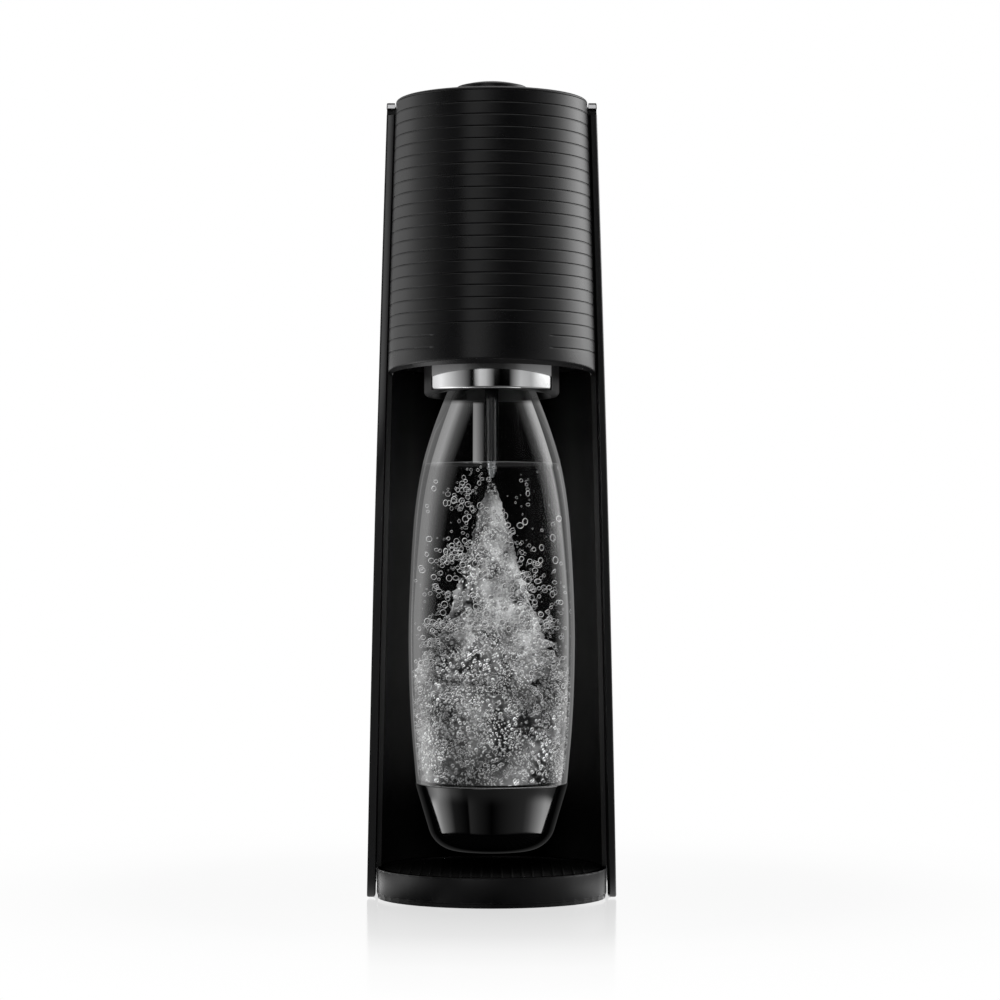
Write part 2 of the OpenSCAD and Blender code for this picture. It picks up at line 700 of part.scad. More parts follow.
// Rotary gas fitting on the left pivot
module rotary_fitting() {
    color("#b5904a") translate([-45.6, bottle_y, pivot_z]) difference() {
        union() {
            x_rod(5, -2.6, 3.2);
            cylinder(r = 2.8, h = 8);
        }
        cylinder(r = 1, h = 12);
        x_rod(1, 0, 4);
    }
}

link_pts = [[-34.6, -36, 294.1], [-34.6, -36, 297], [-33.6, -36, 299.6], [-31, -36, 300.9], [-28, -36, 301],
            [-24.1, -36, 301]];

// Short hose from the left pivot to the carbonation block
module link_hose() {
    color("#d8dadc") sweep(link_pts, 1.8, 10);
}

hose_pts = [[0, 30, 362], [0, 27, 362], [-3, 22, 361.5], [-8, 15, 359], [-15, 6, 353], [-22, -3, 345],
            [-29, -12, 335], [-36, -21, 324], [-41, -28, 314], [-44.5, -33, 305], [-45.6, -35.6, 299],
            [-45.6, -36, 295.2]];

module gas_hose() {
    color("#d8dadc") sweep(hose_pts, 2, 10);
}

module hose_fitting() {
    color("#b5904a") translate([0, cyl_y - 21.1, 362]) rotate([90, 0, 0]) difference() {
        union() {
            translate([0, 0, 0]) cylinder(r = 3.2, h = 1.6, $fn = 6);
            translate([0, 0, -6]) cylinder(r = 1.9, h = 6.4);
        }
        translate([0, 0, -7]) cylinder(r = 1, h = 10);
        translate([0, 0, 0.4]) cylinder(r = 2.05, h = 2);
    }
}

// ---------- bottle ----------

// Outside radius of the bottle at height z
function bottle_out(z) = z > shoulder_z
    ? neck_r + (bottle_r - neck_r) * cos(90 * pow((z - shoulder_z) / shoulder_l, 1.474))
    : bottle_r * cos(26.4 * pow((shoulder_z - z) / (shoulder_z - cup_top), 1.35));

module bottle_shell() {
    low_r = bottle_out(cup_top) - 1.5;
    low_h = 28;
    outer = concat(
        [for (a = [90 : -9 : 0]) [low_r * cos(a), cup_top - low_h * sin(a)]],
        [for (z = [cup_top : 8 : flange_z - 4]) [bottle_out(z), z]],
        [[bottle_out(flange_z), flange_z], [neck_r + 3.5, flange_z + 0.6], [neck_r + 3.5, flange_z + 2.4],
         [neck_r, flange_z + 3], [neck_r, 281], [neck_r + 1.2, 281.6], [neck_r + 1.2, 283], [neck_r, 283.6],
         [neck_r, bottle_top]]);
    inner = concat(
        [[water_free_r, bottle_top], [water_free_r, flange_z]],
        [for (z = [267 : -8 : cup_top + 4]) [max(water_free_r, bottle_out(z) - bottle_t - max(0, z - 240) * 0.14), z]],
        [for (a = [0 : 9 : 90]) [(low_r - bottle_t) * cos(a), cup_top - (low_h - 2) * sin(a)]]);
    color([0.8, 0.85, 0.88, 0.35]) translate([0, bottle_y, 0]) rotate_extrude() polygon(concat(outer, inner));
}

module bottle_base() {
    r_top = bottle_out(cup_top) + 0.4;
    slope = 0.2885;
    fillet = 12;
    tilt = atan(slope);
    z_c = bottle_z + fillet;
    z_t = z_c - fillet * sin(tilt);
    r_c = r_top - (cup_top - z_t) * slope - fillet * cos(tilt);
    low_r = bottle_out(cup_top) - 1.5 + 0.25;
    color("#0d0d0e") translate([0, bottle_y, 0]) rotate_extrude() polygon(concat(
        [[0, bottle_z + 1.5], [r_c - 6, bottle_z + 1.5], [r_c - 4, bottle_z], [r_c, bottle_z]],
        [for (a = [-75 : 15 : -20]) [r_c + fillet * cos(a), z_c + fillet * sin(a)]],
        [[r_c + fillet * cos(tilt), z_t], [r_top, cup_top - 0.3], [r_top - 0.3, cup_top]],
        [for (a = [0 : 9 : 90]) [low_r * cos(a), cup_top - 28.25 * sin(a)]]));
}

base_plinth();
drip_mat();
bottom_plate();
feet();
base_screws();
cylinder_seat();
left_side_panel();
right_side_panel();
rear_cover();
rear_cover_catch();
top_deck();
cavity_wall();
head_cover();
top_cover();
head_chassis();
head_screws();
button();
button_guide();
button_spring();
actuator_arm();
actuator_pin();
chassis_frame();
chassis_screws();
valve_housing();
valve_screws();
valve_seal();
lever_pins();
quick_connect_lever();
co2_cylinder();
cylinder_valve();
cylinder_collar();
valve_pin();
bottle_holder();
chrome_band();
neck_clamp();
carbonation_block();
bottle_seal();
nozzle_tube();
nozzle_tip();
relief_valve();
burst_disc_plug();
pivot_pins();
rotary_fitting();
link_hose();
gas_hose();
hose_fitting();
bottle_shell();
bottle_base();
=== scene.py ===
"""Looks of the counter-top soda carbonator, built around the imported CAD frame.

Lengths in the helpers are millimetres in the row frame (+Z up, front -Y); meshes are stored in metres.
"""
import json
import math

import bmesh
import bpy
import numpy as np
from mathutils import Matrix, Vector, noise


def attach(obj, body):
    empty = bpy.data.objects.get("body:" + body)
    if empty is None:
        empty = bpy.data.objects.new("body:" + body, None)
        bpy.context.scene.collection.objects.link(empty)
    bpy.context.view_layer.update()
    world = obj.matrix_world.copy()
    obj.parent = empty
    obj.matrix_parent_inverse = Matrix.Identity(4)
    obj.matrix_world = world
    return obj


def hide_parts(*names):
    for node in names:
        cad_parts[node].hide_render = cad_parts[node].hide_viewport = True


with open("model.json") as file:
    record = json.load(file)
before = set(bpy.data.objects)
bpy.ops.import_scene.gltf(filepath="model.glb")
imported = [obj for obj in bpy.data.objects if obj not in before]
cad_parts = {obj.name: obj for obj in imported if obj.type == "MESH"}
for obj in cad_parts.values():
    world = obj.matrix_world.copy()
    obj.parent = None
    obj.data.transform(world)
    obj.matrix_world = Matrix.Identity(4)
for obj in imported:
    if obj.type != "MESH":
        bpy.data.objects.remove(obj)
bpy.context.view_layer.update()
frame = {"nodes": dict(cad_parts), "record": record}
scene = bpy.context.scene
nodes = frame["nodes"]
MM = 0.001
MERGE = 1e-6                              # points closer than this, in metres, become one

# ---------------- sizes
# The CAD model's own, in millimetres
BODY_W, TOP_W, BULGE, BODY_D = 128.2, 108.6, 0.8, 182.0
PANEL_H, PANEL_T, LIP_T, LIP_SET, BACK_LEAN = 410.3, 2.6, 4.3, 50.0, 4.0
Y_LIP = -BODY_D / 2 + LIP_SET
Y_CORNER, Y_SPLIT, POW, GAP = 30.0, 56.0, 2.5, 0.3
PLINTH_H, FOOT_H, MAT_RIBS = 16.0, 1.0, 19
HEAD_Z, RIM_RISE, HEAD_IN, HEAD_LEAN, HEAD_TOP, HEAD_T = 269.8, 3.8, 4.9, 5.0, 409.2, 2.4
GROOVES, PITCH, FIRST_GROOVE = 21, 6.16, 403.2
BADGE_HALF, BADGE_GROOVES = 34, 2
LID_TOP, LID_BACK = 411.6, 22.0
BAY_Y, BAY_D, BAY_T, BAY_TOP = -38.0, 55.0, 2.4, 272.2
AXIS_Y, BOTTLE_R, NECK_R, BOTTLE_T = -36.0, 43.3, 13.5, 1.5
CUP_TOP, SHOULDER, SHOULDER_L, FLANGE, BOTTLE_TOP, BOTTLE_Z = 59.0, 150.0, 133.5, 274.5, 286.8, 24.5
HOLDER_R, HOLDER_IN, HOLDER_LOW, HOLDER_TOP = 35.0, 31.0, 258.0, 294.0
BUTTON_R, BUTTON_Z = 18.6, 420.6

# Only in the visual model
HEAD_BACK = -38.6                         # where the sides of the head end
GROOVE_D = 0.45                           # shallower than the CAD grooves, for finer lines
LIP_CAP, LIP_NOTCH, NOTCH_D = 2.9, 5.2, 5.0  # bright cap and notch at the top of a lip, below the panel's top
BOWL_D = 28.0                             # how far the bottle's rounded foot reaches down into its cup
CUP_SLOPE, CUP_FILLET = 0.2885, 15.0
BAND_HALF, BAND_CORNER = 61.8, 3.0        # chrome band: half angle and lower corner radius
FLUTES, FLUTE_R, FLUTE_D = 10, 2.95, 0.42  # nozzle tube
WATER_Z = 223.4


def clamp(t):
    return min(1, max(0, t))


def ease(t):
    """A smooth step from 0 to 1."""
    t = clamp(t)
    return t * t * (3 - 2 * t)


def hw(z):
    """Outside half width of the body at height z."""
    t = z / PANEL_H
    return BODY_W / 2 + (TOP_W - BODY_W) / 2 * t + 4 * BULGE * t * (1 - t)


def hx(z):
    """Half width of the head."""
    return hw(z) - HEAD_IN


def back_y(z):
    return BODY_D / 2 - BACK_LEAN * z / PANEL_H


def head_b(z):
    """How far the head's curved front reaches forward of the lips."""
    return LIP_SET - HEAD_LEAN * max(0, z - HEAD_Z) / (HEAD_TOP - HEAD_Z)


def back_pt(z, inset, u):
    """A point of the rounded back: u is 0 at the side and 90 at the middle."""
    c, s = math.cos(math.radians(u)), math.sin(math.radians(u))
    return ((hw(z) - inset) * max(c, 0) ** (2 / POW),
            Y_CORNER + (back_y(z) - inset - Y_CORNER) * max(s, 0) ** (2 / POW))


def back_u(z, inset, y):
    """The u of back_pt at depth y."""
    return math.degrees(math.asin(((y - Y_CORNER) / (back_y(z) - inset - Y_CORNER)) ** (POW / 2)))


def bottle_out(z):
    """Outside radius of the bottle at height z, its shoulder a little slimmer than the plain curve."""
    slim = 1 - 0.007 * clamp((z - 60) / 10) - 0.035 * ease((z - 130) / 60) - 0.023 * clamp((z - 225) / 30)
    if z > SHOULDER:
        turn = 90 * ((z - SHOULDER) / SHOULDER_L) ** 1.474
        full = NECK_R + (BOTTLE_R - NECK_R) * math.cos(math.radians(turn))
        return max(NECK_R, full * slim)
    return BOTTLE_R * slim * math.cos(math.radians(26.4 * ((SHOULDER - z) / (SHOULDER - CUP_TOP)) ** 1.35))


def oval(deg, w, b, y0=0.0):
    """A point of an ellipse about (0, y0) with half axes w and b."""
    return w * math.cos(math.radians(deg)), y0 + b * math.sin(math.radians(deg))


def circle(r, z, n, y0=0.0):
    return [(r * math.cos(2 * math.pi * i / n), y0 + r * math.sin(2 * math.pi * i / n), z) for i in range(n)]


def span(a, b, n):
    """n evenly spaced values from a to b."""
    return [a + (b - a) * i / (n - 1) for i in range(n)]


# ---------------- mesh helpers
def skin(rings, capped=True):
    """Vertices and faces through stacked closed rings of points."""
    n, verts, faces = len(rings[0]), [p for r in rings for p in r], []
    for j in range(len(rings) - 1):
        for i in range(n):
            k = (i + 1) % n
            faces.append((j * n + i, j * n + k, (j + 1) * n + k, (j + 1) * n + i))
    if capped:
        faces.append(tuple(range(n - 1, -1, -1)))
        faces.append(tuple(range(len(verts) - n, len(verts))))
    return verts, faces


def make(name, verts, faces, sharp=40):
    """An object from millimetre vertices, its edges sharper than an angle kept crisp."""
    mesh = bpy.data.meshes.new(name)
    mesh.from_pydata([(x * MM, y * MM, z * MM) for x, y, z in verts], [], faces)
    bm = bmesh.new()
    bm.from_mesh(mesh)
    bmesh.ops.remove_doubles(bm, verts=bm.verts, dist=MERGE)
    bmesh.ops.dissolve_degenerate(bm, edges=bm.edges, dist=MERGE)
    bmesh.ops.recalc_face_normals(bm, faces=bm.faces)
    crisp(bm, sharp)
    bm.to_mesh(mesh)
    bm.free()
    obj = bpy.data.objects.new(name, mesh)
    scene.collection.objects.link(obj)
    return obj


def crisp(bm, sharp):
    """Smooth faces, with the edges sharper than an angle kept crisp."""
    for f in bm.faces:
        f.smooth = True
    for e in bm.edges:
        if len(e.link_faces) == 2:
            e.smooth = e.calc_face_angle(0) < math.radians(sharp)


def lathe(name, profile, steps=128, y=0.0, sharp=40):
    """A solid of revolution about a vertical axis, from (radius, z) points; points on the axis close it."""
    rings = [circle(r, z, steps, y) for r, z in profile]
    verts, faces = skin(rings, capped=False)
    return make(name, verts, faces, sharp)


def arc(cx, cz, r, a0, a1, n):
    return [(cx + r * math.cos(math.radians(a)), cz + r * math.sin(math.radians(a)))
            for a in span(a0, a1, n)]


def bowl(r, depth, a0, a1, n):
    """The bottle's rounded foot or its cup's hollow: an elliptical profile below CUP_TOP."""
    return [oval(a, r, -depth, CUP_TOP) for a in span(a0, a1, n)]


def wall(name, outer, inner, sharp=40):
    """A thin wall between two stacks of open paths, both listed upwards."""
    rows, n = len(outer), len(outer[0])
    verts = [p for r in outer for p in r] + [p for r in inner for p in r]
    k, faces = rows * n, []
    for j in range(rows - 1):
        for i in range(n - 1):
            a = j * n + i
            faces.append((a, a + 1, a + n + 1, a + n))
            faces.append((k + a, k + a + n, k + a + n + 1, k + a + 1))
    for i in range(n - 1):
        b = (rows - 1) * n + i
        faces.append((i, k + i, k + i + 1, i + 1))
        faces.append((b, b + 1, k + b + 1, k + b))
    for j in range(rows - 1):
        a, b = j * n, j * n + n - 1
        faces.append((a, a + n, k + a + n, k + a))
        faces.append((b, k + b, k + b + n, b + n))
    return make(name, verts, faces, sharp)


def carve(obj, cutter):
    """Cuts one mesh out of another and keeps crisp edges."""
    mod = obj.modifiers.new("cut", "BOOLEAN")
    mod.object, mod.operation, mod.solver = cutter, "DIFFERENCE", "EXACT"
    bpy.context.view_layer.update()
    mesh = bpy.data.meshes.new_from_object(obj.evaluated_get(bpy.context.evaluated_depsgraph_get()))
    obj.modifiers.clear()
    obj.data = mesh
    bpy.data.objects.remove(cutter)
    bm = bmesh.new()
    bm.from_mesh(mesh)
    crisp(bm, 40)
    bm.to_mesh(mesh)
    bm.free()
    return obj


def join(a, b):
    """Adds the mesh of b to a."""
    bm = bmesh.new()
    bm.from_mesh(a.data)
    bm.from_mesh(b.data)
    bm.to_mesh(a.data)
    bm.free()
    bpy.data.objects.remove(b)
    return a


def add(verts, faces, more_verts, more_faces):
    """Two lists of vertices and faces as one."""
    k = len(verts)
    return verts + more_verts, faces + [tuple(k + i for i in face) for face in more_faces]


def paint(obj, material, picked):
    """Gives a second material to the faces picked by their centre in millimetres and their normal."""
    obj.data.materials.append(material)
    for face in obj.data.polygons:
        if picked(face.center / MM, face.normal):
            face.material_index = 1


def place(obj, body, replaced, slot, material=None):
    """Puts a piece under its body, hides the CAD nodes it stands for, and gives it its own material or the
    slot's.
    """
    obj.data.materials.clear()
    obj.data.materials.append(material or M[slot])
    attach(obj, body)
    if replaced:
        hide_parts(*replaced)
    return obj


# ---------------- materials
def tree(name):
    """A new material, its node tree and its shader."""
    mat = bpy.data.materials.new(name)
    mat.use_nodes = True
    nt = mat.node_tree
    return mat, nt, nt.nodes["Principled BSDF"]


def shader(mat):
    return mat.node_tree, mat.node_tree.nodes["Principled BSDF"]


def node(nt, kind, **values):
    """A shader node, each value set on the input or the property of that name."""
    n = nt.nodes.new("ShaderNode" + kind)
    for key, value in values.items():
        if key in n.inputs:
            n.inputs[key].default_value = value
        else:
            setattr(n, key, value)
    return n


def coords(nt, stretch=(1, 1, 1)):
    tc = node(nt, "TexCoord")
    if stretch == (1, 1, 1):
        return tc.outputs["Object"]
    mp = node(nt, "Mapping", Scale=stretch)
    nt.links.new(tc.outputs["Object"], mp.inputs["Vector"])
    return mp.outputs["Vector"]


def math_node(nt, op, a, b=None):
    n = node(nt, "Math", operation=op)
    for i, value in enumerate((a, b)):
        if isinstance(value, (int, float)):
            n.inputs[i].default_value = value
        elif value is not None:
            nt.links.new(value, n.inputs[i])
    return n.outputs[0]


def times(nt, a, b):
    return math_node(nt, "MULTIPLY", a, b)


def position(nt):
    """X, Y and Z of the shaded point, in metres."""
    sep = node(nt, "SeparateXYZ")
    nt.links.new(coords(nt), sep.inputs[0])
    return sep.outputs["X"], sep.outputs["Y"], sep.outputs["Z"]


def aside(nt):
    """Distance of the shaded point from the middle plane."""
    return math_node(nt, "ABSOLUTE", position(nt)[0])


def noise_tex(nt, vec, scale, detail=3.0, rough=0.55):
    n = node(nt, "TexNoise", Scale=scale, Detail=detail, Roughness=rough)
    nt.links.new(vec, n.inputs["Vector"])
    return n.outputs["Fac"]


def ramp(nt, fac, stops):
    """A grey level or colour that follows fac, through (position, value) stops."""
    r = node(nt, "ValToRGB")
    els = r.color_ramp.elements
    while len(els) < len(stops):
        els.new(0.5)
    for el, (pos, value) in zip(els, stops):
        el.position = pos
        v = value if isinstance(value, (tuple, list)) else (value, value, value)
        el.color = (*v, 1)
    nt.links.new(fac, r.inputs["Fac"])
    return r.outputs["Color"]


def along(nt, length, stops, scale, start=0.0):
    """A level along a length in metres; start and stops in millimetres, scale brings them within 0 to 1."""
    if start:
        length = math_node(nt, "SUBTRACT", length, start * MM)
    return ramp(nt, times(nt, length, scale), [((p - start) * MM * scale, v) for p, v in stops])


def bump(nt, bsdf, height, strength, distance):
    b = node(nt, "Bump", Strength=strength, Distance=distance)
    nt.links.new(height, b.inputs["Height"])
    nt.links.new(b.outputs["Normal"], bsdf.inputs["Normal"])
    return b


def moulded(name, colour, rough=(0.4, 0.5), grain=2600, depth=0.00002, strength=0.25, specular=0.5):
    """Moulded plastic or rubber: fine spark-eroded grain, uneven gloss and a slightly uneven colour."""
    mat, nt, bsdf = tree(name)
    vec = coords(nt)
    fine = noise_tex(nt, vec, grain, 2.0, 0.6)
    broad = noise_tex(nt, vec, 38, 3.0, 0.6)
    lo = tuple(c * 0.88 for c in colour)
    hi = tuple(min(1, c * 1.12) for c in colour)
    nt.links.new(ramp(nt, broad, [(0.3, lo), (0.7, hi)]), bsdf.inputs["Base Color"])
    nt.links.new(ramp(nt, broad, [(0.3, rough[0]), (0.7, rough[1])]), bsdf.inputs["Roughness"])
    bsdf.inputs["Specular IOR Level"].default_value = specular
    bump(nt, bsdf, fine, strength, depth)
    return mat


def metal(name, colour, rough=(0.22, 0.34), stretch=(1, 1, 30), scale=260, strength=0.1):
    """Metal with fine directional marks."""
    mat, nt, bsdf = tree(name)
    marks = noise_tex(nt, coords(nt, stretch), scale, 4.0, 0.6)
    bsdf.inputs["Metallic"].default_value = 1.0
    lo = tuple(c * 0.9 for c in colour)
    nt.links.new(ramp(nt, marks, [(0.3, lo), (0.7, colour)]), bsdf.inputs["Base Color"])
    nt.links.new(ramp(nt, marks, [(0.3, rough[0]), (0.7, rough[1])]), bsdf.inputs["Roughness"])
    bump(nt, bsdf, marks, strength, 0.00002)
    return mat


def clear(name, ior, tint):
    """Clear plastic or water, slightly uneven in colour."""
    mat, nt, bsdf = tree(name)
    tone = noise_tex(nt, coords(nt), 20, 2.0)
    faint = tuple(c * 0.985 for c in tint)
    nt.links.new(ramp(nt, tone, [(0.3, faint), (0.7, tint)]), bsdf.inputs["Base Color"])
    bsdf.inputs["Transmission Weight"].default_value = 1.0
    bsdf.inputs["Roughness"].default_value = 0.0
    bsdf.inputs["IOR"].default_value = ior
    return mat


def facing_ramp(nt, stops):
    """A level set by how edge-on the surface is seen: 0 head-on, 1 at its outline."""
    return ramp(nt, node(nt, "LayerWeight", Blend=0.5).outputs["Facing"], stops)


def lit_side(nt, vec, toward):
    """1 where vec points the way the light comes from, 0 opposite."""
    dot = node(nt, "VectorMath", operation="DOT_PRODUCT")
    nt.links.new(vec, dot.inputs[0])
    dot.inputs[1].default_value = toward
    return math_node(nt, "ADD", times(nt, dot.outputs["Value"], 0.5), 0.5)


def glow(nt, bsdf, colour, strength=1.0):
    nt.links.new(colour, bsdf.inputs["Emission Color"])
    bsdf.inputs["Emission Strength"].default_value = strength


def blend(nt, kind, a, b, fac=1.0):
    """Two colours mixed, multiplied or added."""
    n = node(nt, "Mix", data_type="RGBA", blend_type=kind)
    for name, value in (("Factor", fac), ("A", a), ("B", b)):
        if isinstance(value, (int, float)):
            n.inputs[name].default_value = value if name == "Factor" else (value, value, value, 1)
        else:
            nt.links.new(value, n.inputs[name])
    return n.outputs["Result"]


BLACK = (0.005, 0.005, 0.0055)
BOTTLE_IOR, BOTTLE_TINT = 1.03, (0.99, 0.995, 0.995)
M = {
    "body_black": moulded("satin_black_shell", BLACK, (0.3, 0.36)),
    "head_black": moulded("satin_black_head", (0.0035, 0.0035, 0.004), (0.26, 0.31)),
    "base_black": moulded("satin_black_base", BLACK, (0.3, 0.35)),
    "inner_black": moulded("matte_black_inner", (0.008, 0.008, 0.0085), (0.46, 0.56),
                           grain=1800, strength=0.35),
    "mat_black": moulded("ribbed_mat_rubber", (0.004, 0.004, 0.004), (0.6, 0.75),
                         grain=1500, strength=0.4, specular=0.15),
    "foot_rubber": moulded("foot_rubber", (0.012, 0.012, 0.012), (0.6, 0.75), grain=1200, strength=0.4),
    "button_black": moulded("button_black", BLACK, (0.28, 0.34)),
    "holder_black": moulded("collar_painted_sheen", (0.009, 0.009, 0.0095), (0.3, 0.36)),
    "bottle_base_black": moulded("cup_gloss_black", (0.0012, 0.0012, 0.0014), (0.07, 0.1),
                                 grain=90, depth=0.0001, strength=0.015, specular=1.0),
    "chrome": metal("polished_chrome", (0.86, 0.865, 0.87), (0.045, 0.08), (1, 1, 1), 60, 0.01),
    "edge_trim": metal("bright_edge_trim", (0.62, 0.62, 0.63), (0.2, 0.3)),
    "steel": metal("zinc_plated_steel", (0.56, 0.57, 0.58)),
    "aluminium": metal("cast_aluminium", (0.6, 0.61, 0.63), (0.35, 0.5), (1, 1, 1), 900, 0.3),
    "cylinder_metal": metal("brushed_cylinder", (0.62, 0.64, 0.66), (0.26, 0.38), (1, 1, 14), 420, 0.12),
    "brass": metal("turned_brass", (0.62, 0.45, 0.2), (0.2, 0.32), (1, 1, 24), 300, 0.1),
    "chassis_grey": moulded("glass_filled_plastic", (0.09, 0.09, 0.095), (0.5, 0.62),
                            grain=1400, strength=0.4),
    "valve_grey": moulded("acetal_grey", (0.14, 0.14, 0.15), (0.38, 0.5)),
    "nozzle_grey": moulded("nozzle_plastic", (0.003, 0.003, 0.0035), (0.1, 0.14), specular=1.0),
    "seal_red": moulded("red_seal", (0.35, 0.06, 0.05), (0.5, 0.6)),
    "seal_grey": moulded("grey_seal", (0.3, 0.31, 0.32), (0.5, 0.6)),
    "hose_clear": moulded("pressure_hose", (0.72, 0.74, 0.75), (0.3, 0.4), grain=600, strength=0.2),
    "bottle_clear": clear("clear_bottle_inside", BOTTLE_IOR, BOTTLE_TINT),
}


def dress_nodes():
    """Every CAD node gets its slot's material; two inside the head are kept out of mirror reflections."""
    slots = {s["node"]: s["material_slot"] for s in frame["record"]["subparts"]}
    for name, obj in nodes.items():
        obj.data.materials.clear()
        obj.data.materials.append(M[slots[name]])
    for name in ("head_screws", "head_chassis"):
        nodes[name].visible_glossy = False


# ---------------- outer shells
def lip_depth(s, z, left):
    """How far a side panel's front stands back at height z, across the lip: s is 0 outside and 1 inside."""
    if z > PANEL_H - LIP_CAP:
        return 0.4 + 1.5 * min(1, (z - (PANEL_H - LIP_CAP)) / 2.5)
    if left:
        bead = 0.3 + 0.25 * (1 - s) + 4.2 * ease((z - 195) / 80) * (1 - max(s, 0.14)) ** 1.45
        bead += 0.9 * max(0, s - 0.93) / 0.07
    else:
        bead = 0.45 + 0.7 * max(0, 0.12 - s) / 0.12 + 2.0 * (max(0, s - 0.72) / 0.28) ** 1.6
    notch = PANEL_H - LIP_NOTCH
    if z > notch:
        return NOTCH_D
    if z > notch - 0.8:
        return bead + (NOTCH_D - bead) * (z - (notch - 0.8)) / 0.8
    return bead


def panel_ring(z, left, e=0.0):
    """Plan of a side panel (as on the right) at height z, its walls moved in by e."""
    w = hw(z)
    u1, u2 = back_u(z, e, Y_SPLIT - e), back_u(z, PANEL_T - e, Y_SPLIT - e)
    front = []
    for s in span(0, 1, 29):
        x = w - e - (LIP_T - 2 * e) * s
        front.append((x, Y_LIP + e + lip_depth(s, z, left) * (1 if e < 0.3 else 0.6)))
    pts = [(w - e, Y_LIP + 5.6)]
    pts += [(w - e, y) for y in span(Y_LIP + 8, Y_CORNER - 2, 6)]
    pts += [back_pt(z, e, u1 * i / 18) for i in range(19)]
    pts += [back_pt(z, PANEL_T - e, u2 * i / 18) for i in range(18, -1, -1)]
    pts += [(w - PANEL_T + e, Y_LIP + 10), (w - LIP_T + e, Y_LIP + 6.5)]
    pts += [(x, y) for x, y in reversed(front)]
    return [(x, y, z) for x, y in pts]


def guide_rib():
    """The rib inside a panel that the head slides against."""
    rings = []
    for z in span(277.2, 408.6, 9):
        x0, x1 = hw(z) - 7.2, hw(z) - 3.2
        rings.append([(x0, Y_LIP + 3.6, z), (x1, Y_LIP + 3.6, z), (x1, Y_LIP + 5.4, z), (x0, Y_LIP + 5.4, z)])
    return skin(rings)


def on_lip_cap(c, normal):
    """The bright bevel near the top of a lip."""
    high = PANEL_H - LIP_CAP < c.z < PANEL_H - 0.4
    return high and c.y < Y_LIP + 2.2 and normal.z > 0.2 and abs(c.x) < hw(c.z) - 0.5


def side_panels():
    top = PANEL_H
    turns = (6.05, 5.9, 5.6, 5.25, 5.15, 2.95, 2.85, 2.8, 0.45, 0.4)    # where the lip changes, below the top
    for side, sx in (("right", 1), ("left", -1)):
        left = sx < 0
        rings = [panel_ring(0.6, left, 1.0), panel_ring(0.75, left, 0.45), panel_ring(1.1, left, 0.12)]
        rings += [panel_ring(z, left) for z in [1.8] + span(12, top - 9, 34)]
        rings += [panel_ring(top - below, left) for below in turns]
        rings += [panel_ring(top - below, left, e) for below, e in ((0.3, 0.01), (0.1, 0.1), (0, 0.35))]
        verts, faces = add(*skin(rings), *guide_rib())
        obj = make(f"{side}_side_shell", [(sx * x, y, z) for x, y, z in verts], faces, 24)
        place(obj, "housing", [f"{side}_side_panel"], "body_black")
        paint(obj, M["edge_trim"], on_lip_cap)


def cover_path(z, inset, n=48):
    """Plan of the rear cover from one side, round the back, to the other."""
    u1 = back_u(z, inset, Y_SPLIT + GAP)
    half = [back_pt(z, inset, u1 + (90 - u1) * i / n) for i in range(n + 1)]
    return [(x, yy, z) for x, yy in half] + [(-x, yy, z) for x, yy in reversed(half[:-1])]


def rear_cover():
    """The cover, with a round finger notch in its top edge."""
    low, high, rows = 6.0, 409.7, 26
    zs = [low] + span(low + 0.4, high - 0.4, rows) + [high]
    insets = [0.35] + [0.0] * rows + [0.35]
    cover = wall("rear_shell", [cover_path(z, e) for z, e in zip(zs, insets)],
                 [cover_path(z, PANEL_T) for z in zs], 30)
    cutter = lathe("cutter", [(0, -6), (14, -6), (14, 6), (0, 6)], 96)
    cutter.rotation_euler = (math.pi / 2, 0, 0)
    cutter.location = (0, (back_y(high) - 2) * MM, high * MM)
    carve(cover, cutter)
    place(cover, "rear_cover", ["rear_cover"], "body_black")


def rear_deck():
    low, edge = 402.6, 1.2
    inside = PANEL_T + GAP + 0.3

    def plan(z, e):
        right = [(hw(low) - inside - e, LID_BACK + 0.4 + e)]
        right += [back_pt(low, inside + e, 3 * i) for i in range(30)]
        pts = right + [(0, back_y(low) - inside - e)] + [(-x, y) for x, y in reversed(right)]
        return [(x, y, z) for x, y in pts]

    z1 = PANEL_H - 0.6 - edge
    rings = [plan(low, 0.0), plan(z1, 0.0)]
    rings += [plan(z1 + edge * math.sin(a), edge * (1 - math.cos(a))) for a in span(0.26, math.pi / 2, 6)]
    place(make("rear_deck", *skin(rings)), "housing", ["top_deck"], "body_black")


# ---------------- base
def plinth_plan(e, z):
    """Plan of the plinth, moved in by e: curved front, straight sides, rounded back."""
    w = hw(PLINTH_H) - LIP_T - 0.6 - e
    pts = [oval(a, w, LIP_SET - e, Y_LIP) for a in span(180, 360, 96)]
    half = [back_pt(PLINTH_H, LIP_T + 0.6 + e, 90 * i / 40) for i in range(41)]
    pts += half + [(-x, y) for x, y in reversed(half[:-1])]
    return [(x, y, z) for x, y in pts]


def bay_plan(e, z):
    """Plan of the sunken floor that the mat lies on, moved in by e."""
    w = BODY_W / 2 - LIP_T - 4 - e
    pts = [oval(a, w, LIP_SET - 3.5 - e, Y_LIP) for a in span(180, 360, 96)]
    pts += [oval(a, w, BAY_D - 3.5 - e, BAY_Y) for a in span(0, 180, 96)]
    return [(x, y, z) for x, y in pts]


def plinth_black():
    """The base's black, less glossy towards its two ends."""
    nt, bsdf = shader(M["base_black"])
    ends = along(nt, aside(nt), [(41.25, 0.5), (48.75, 0.28), (53.75, 0.1), (56.9, 0.06)], 16.0)
    nt.links.new(ends, bsdf.inputs["Specular IOR Level"])
    return M["base_black"]


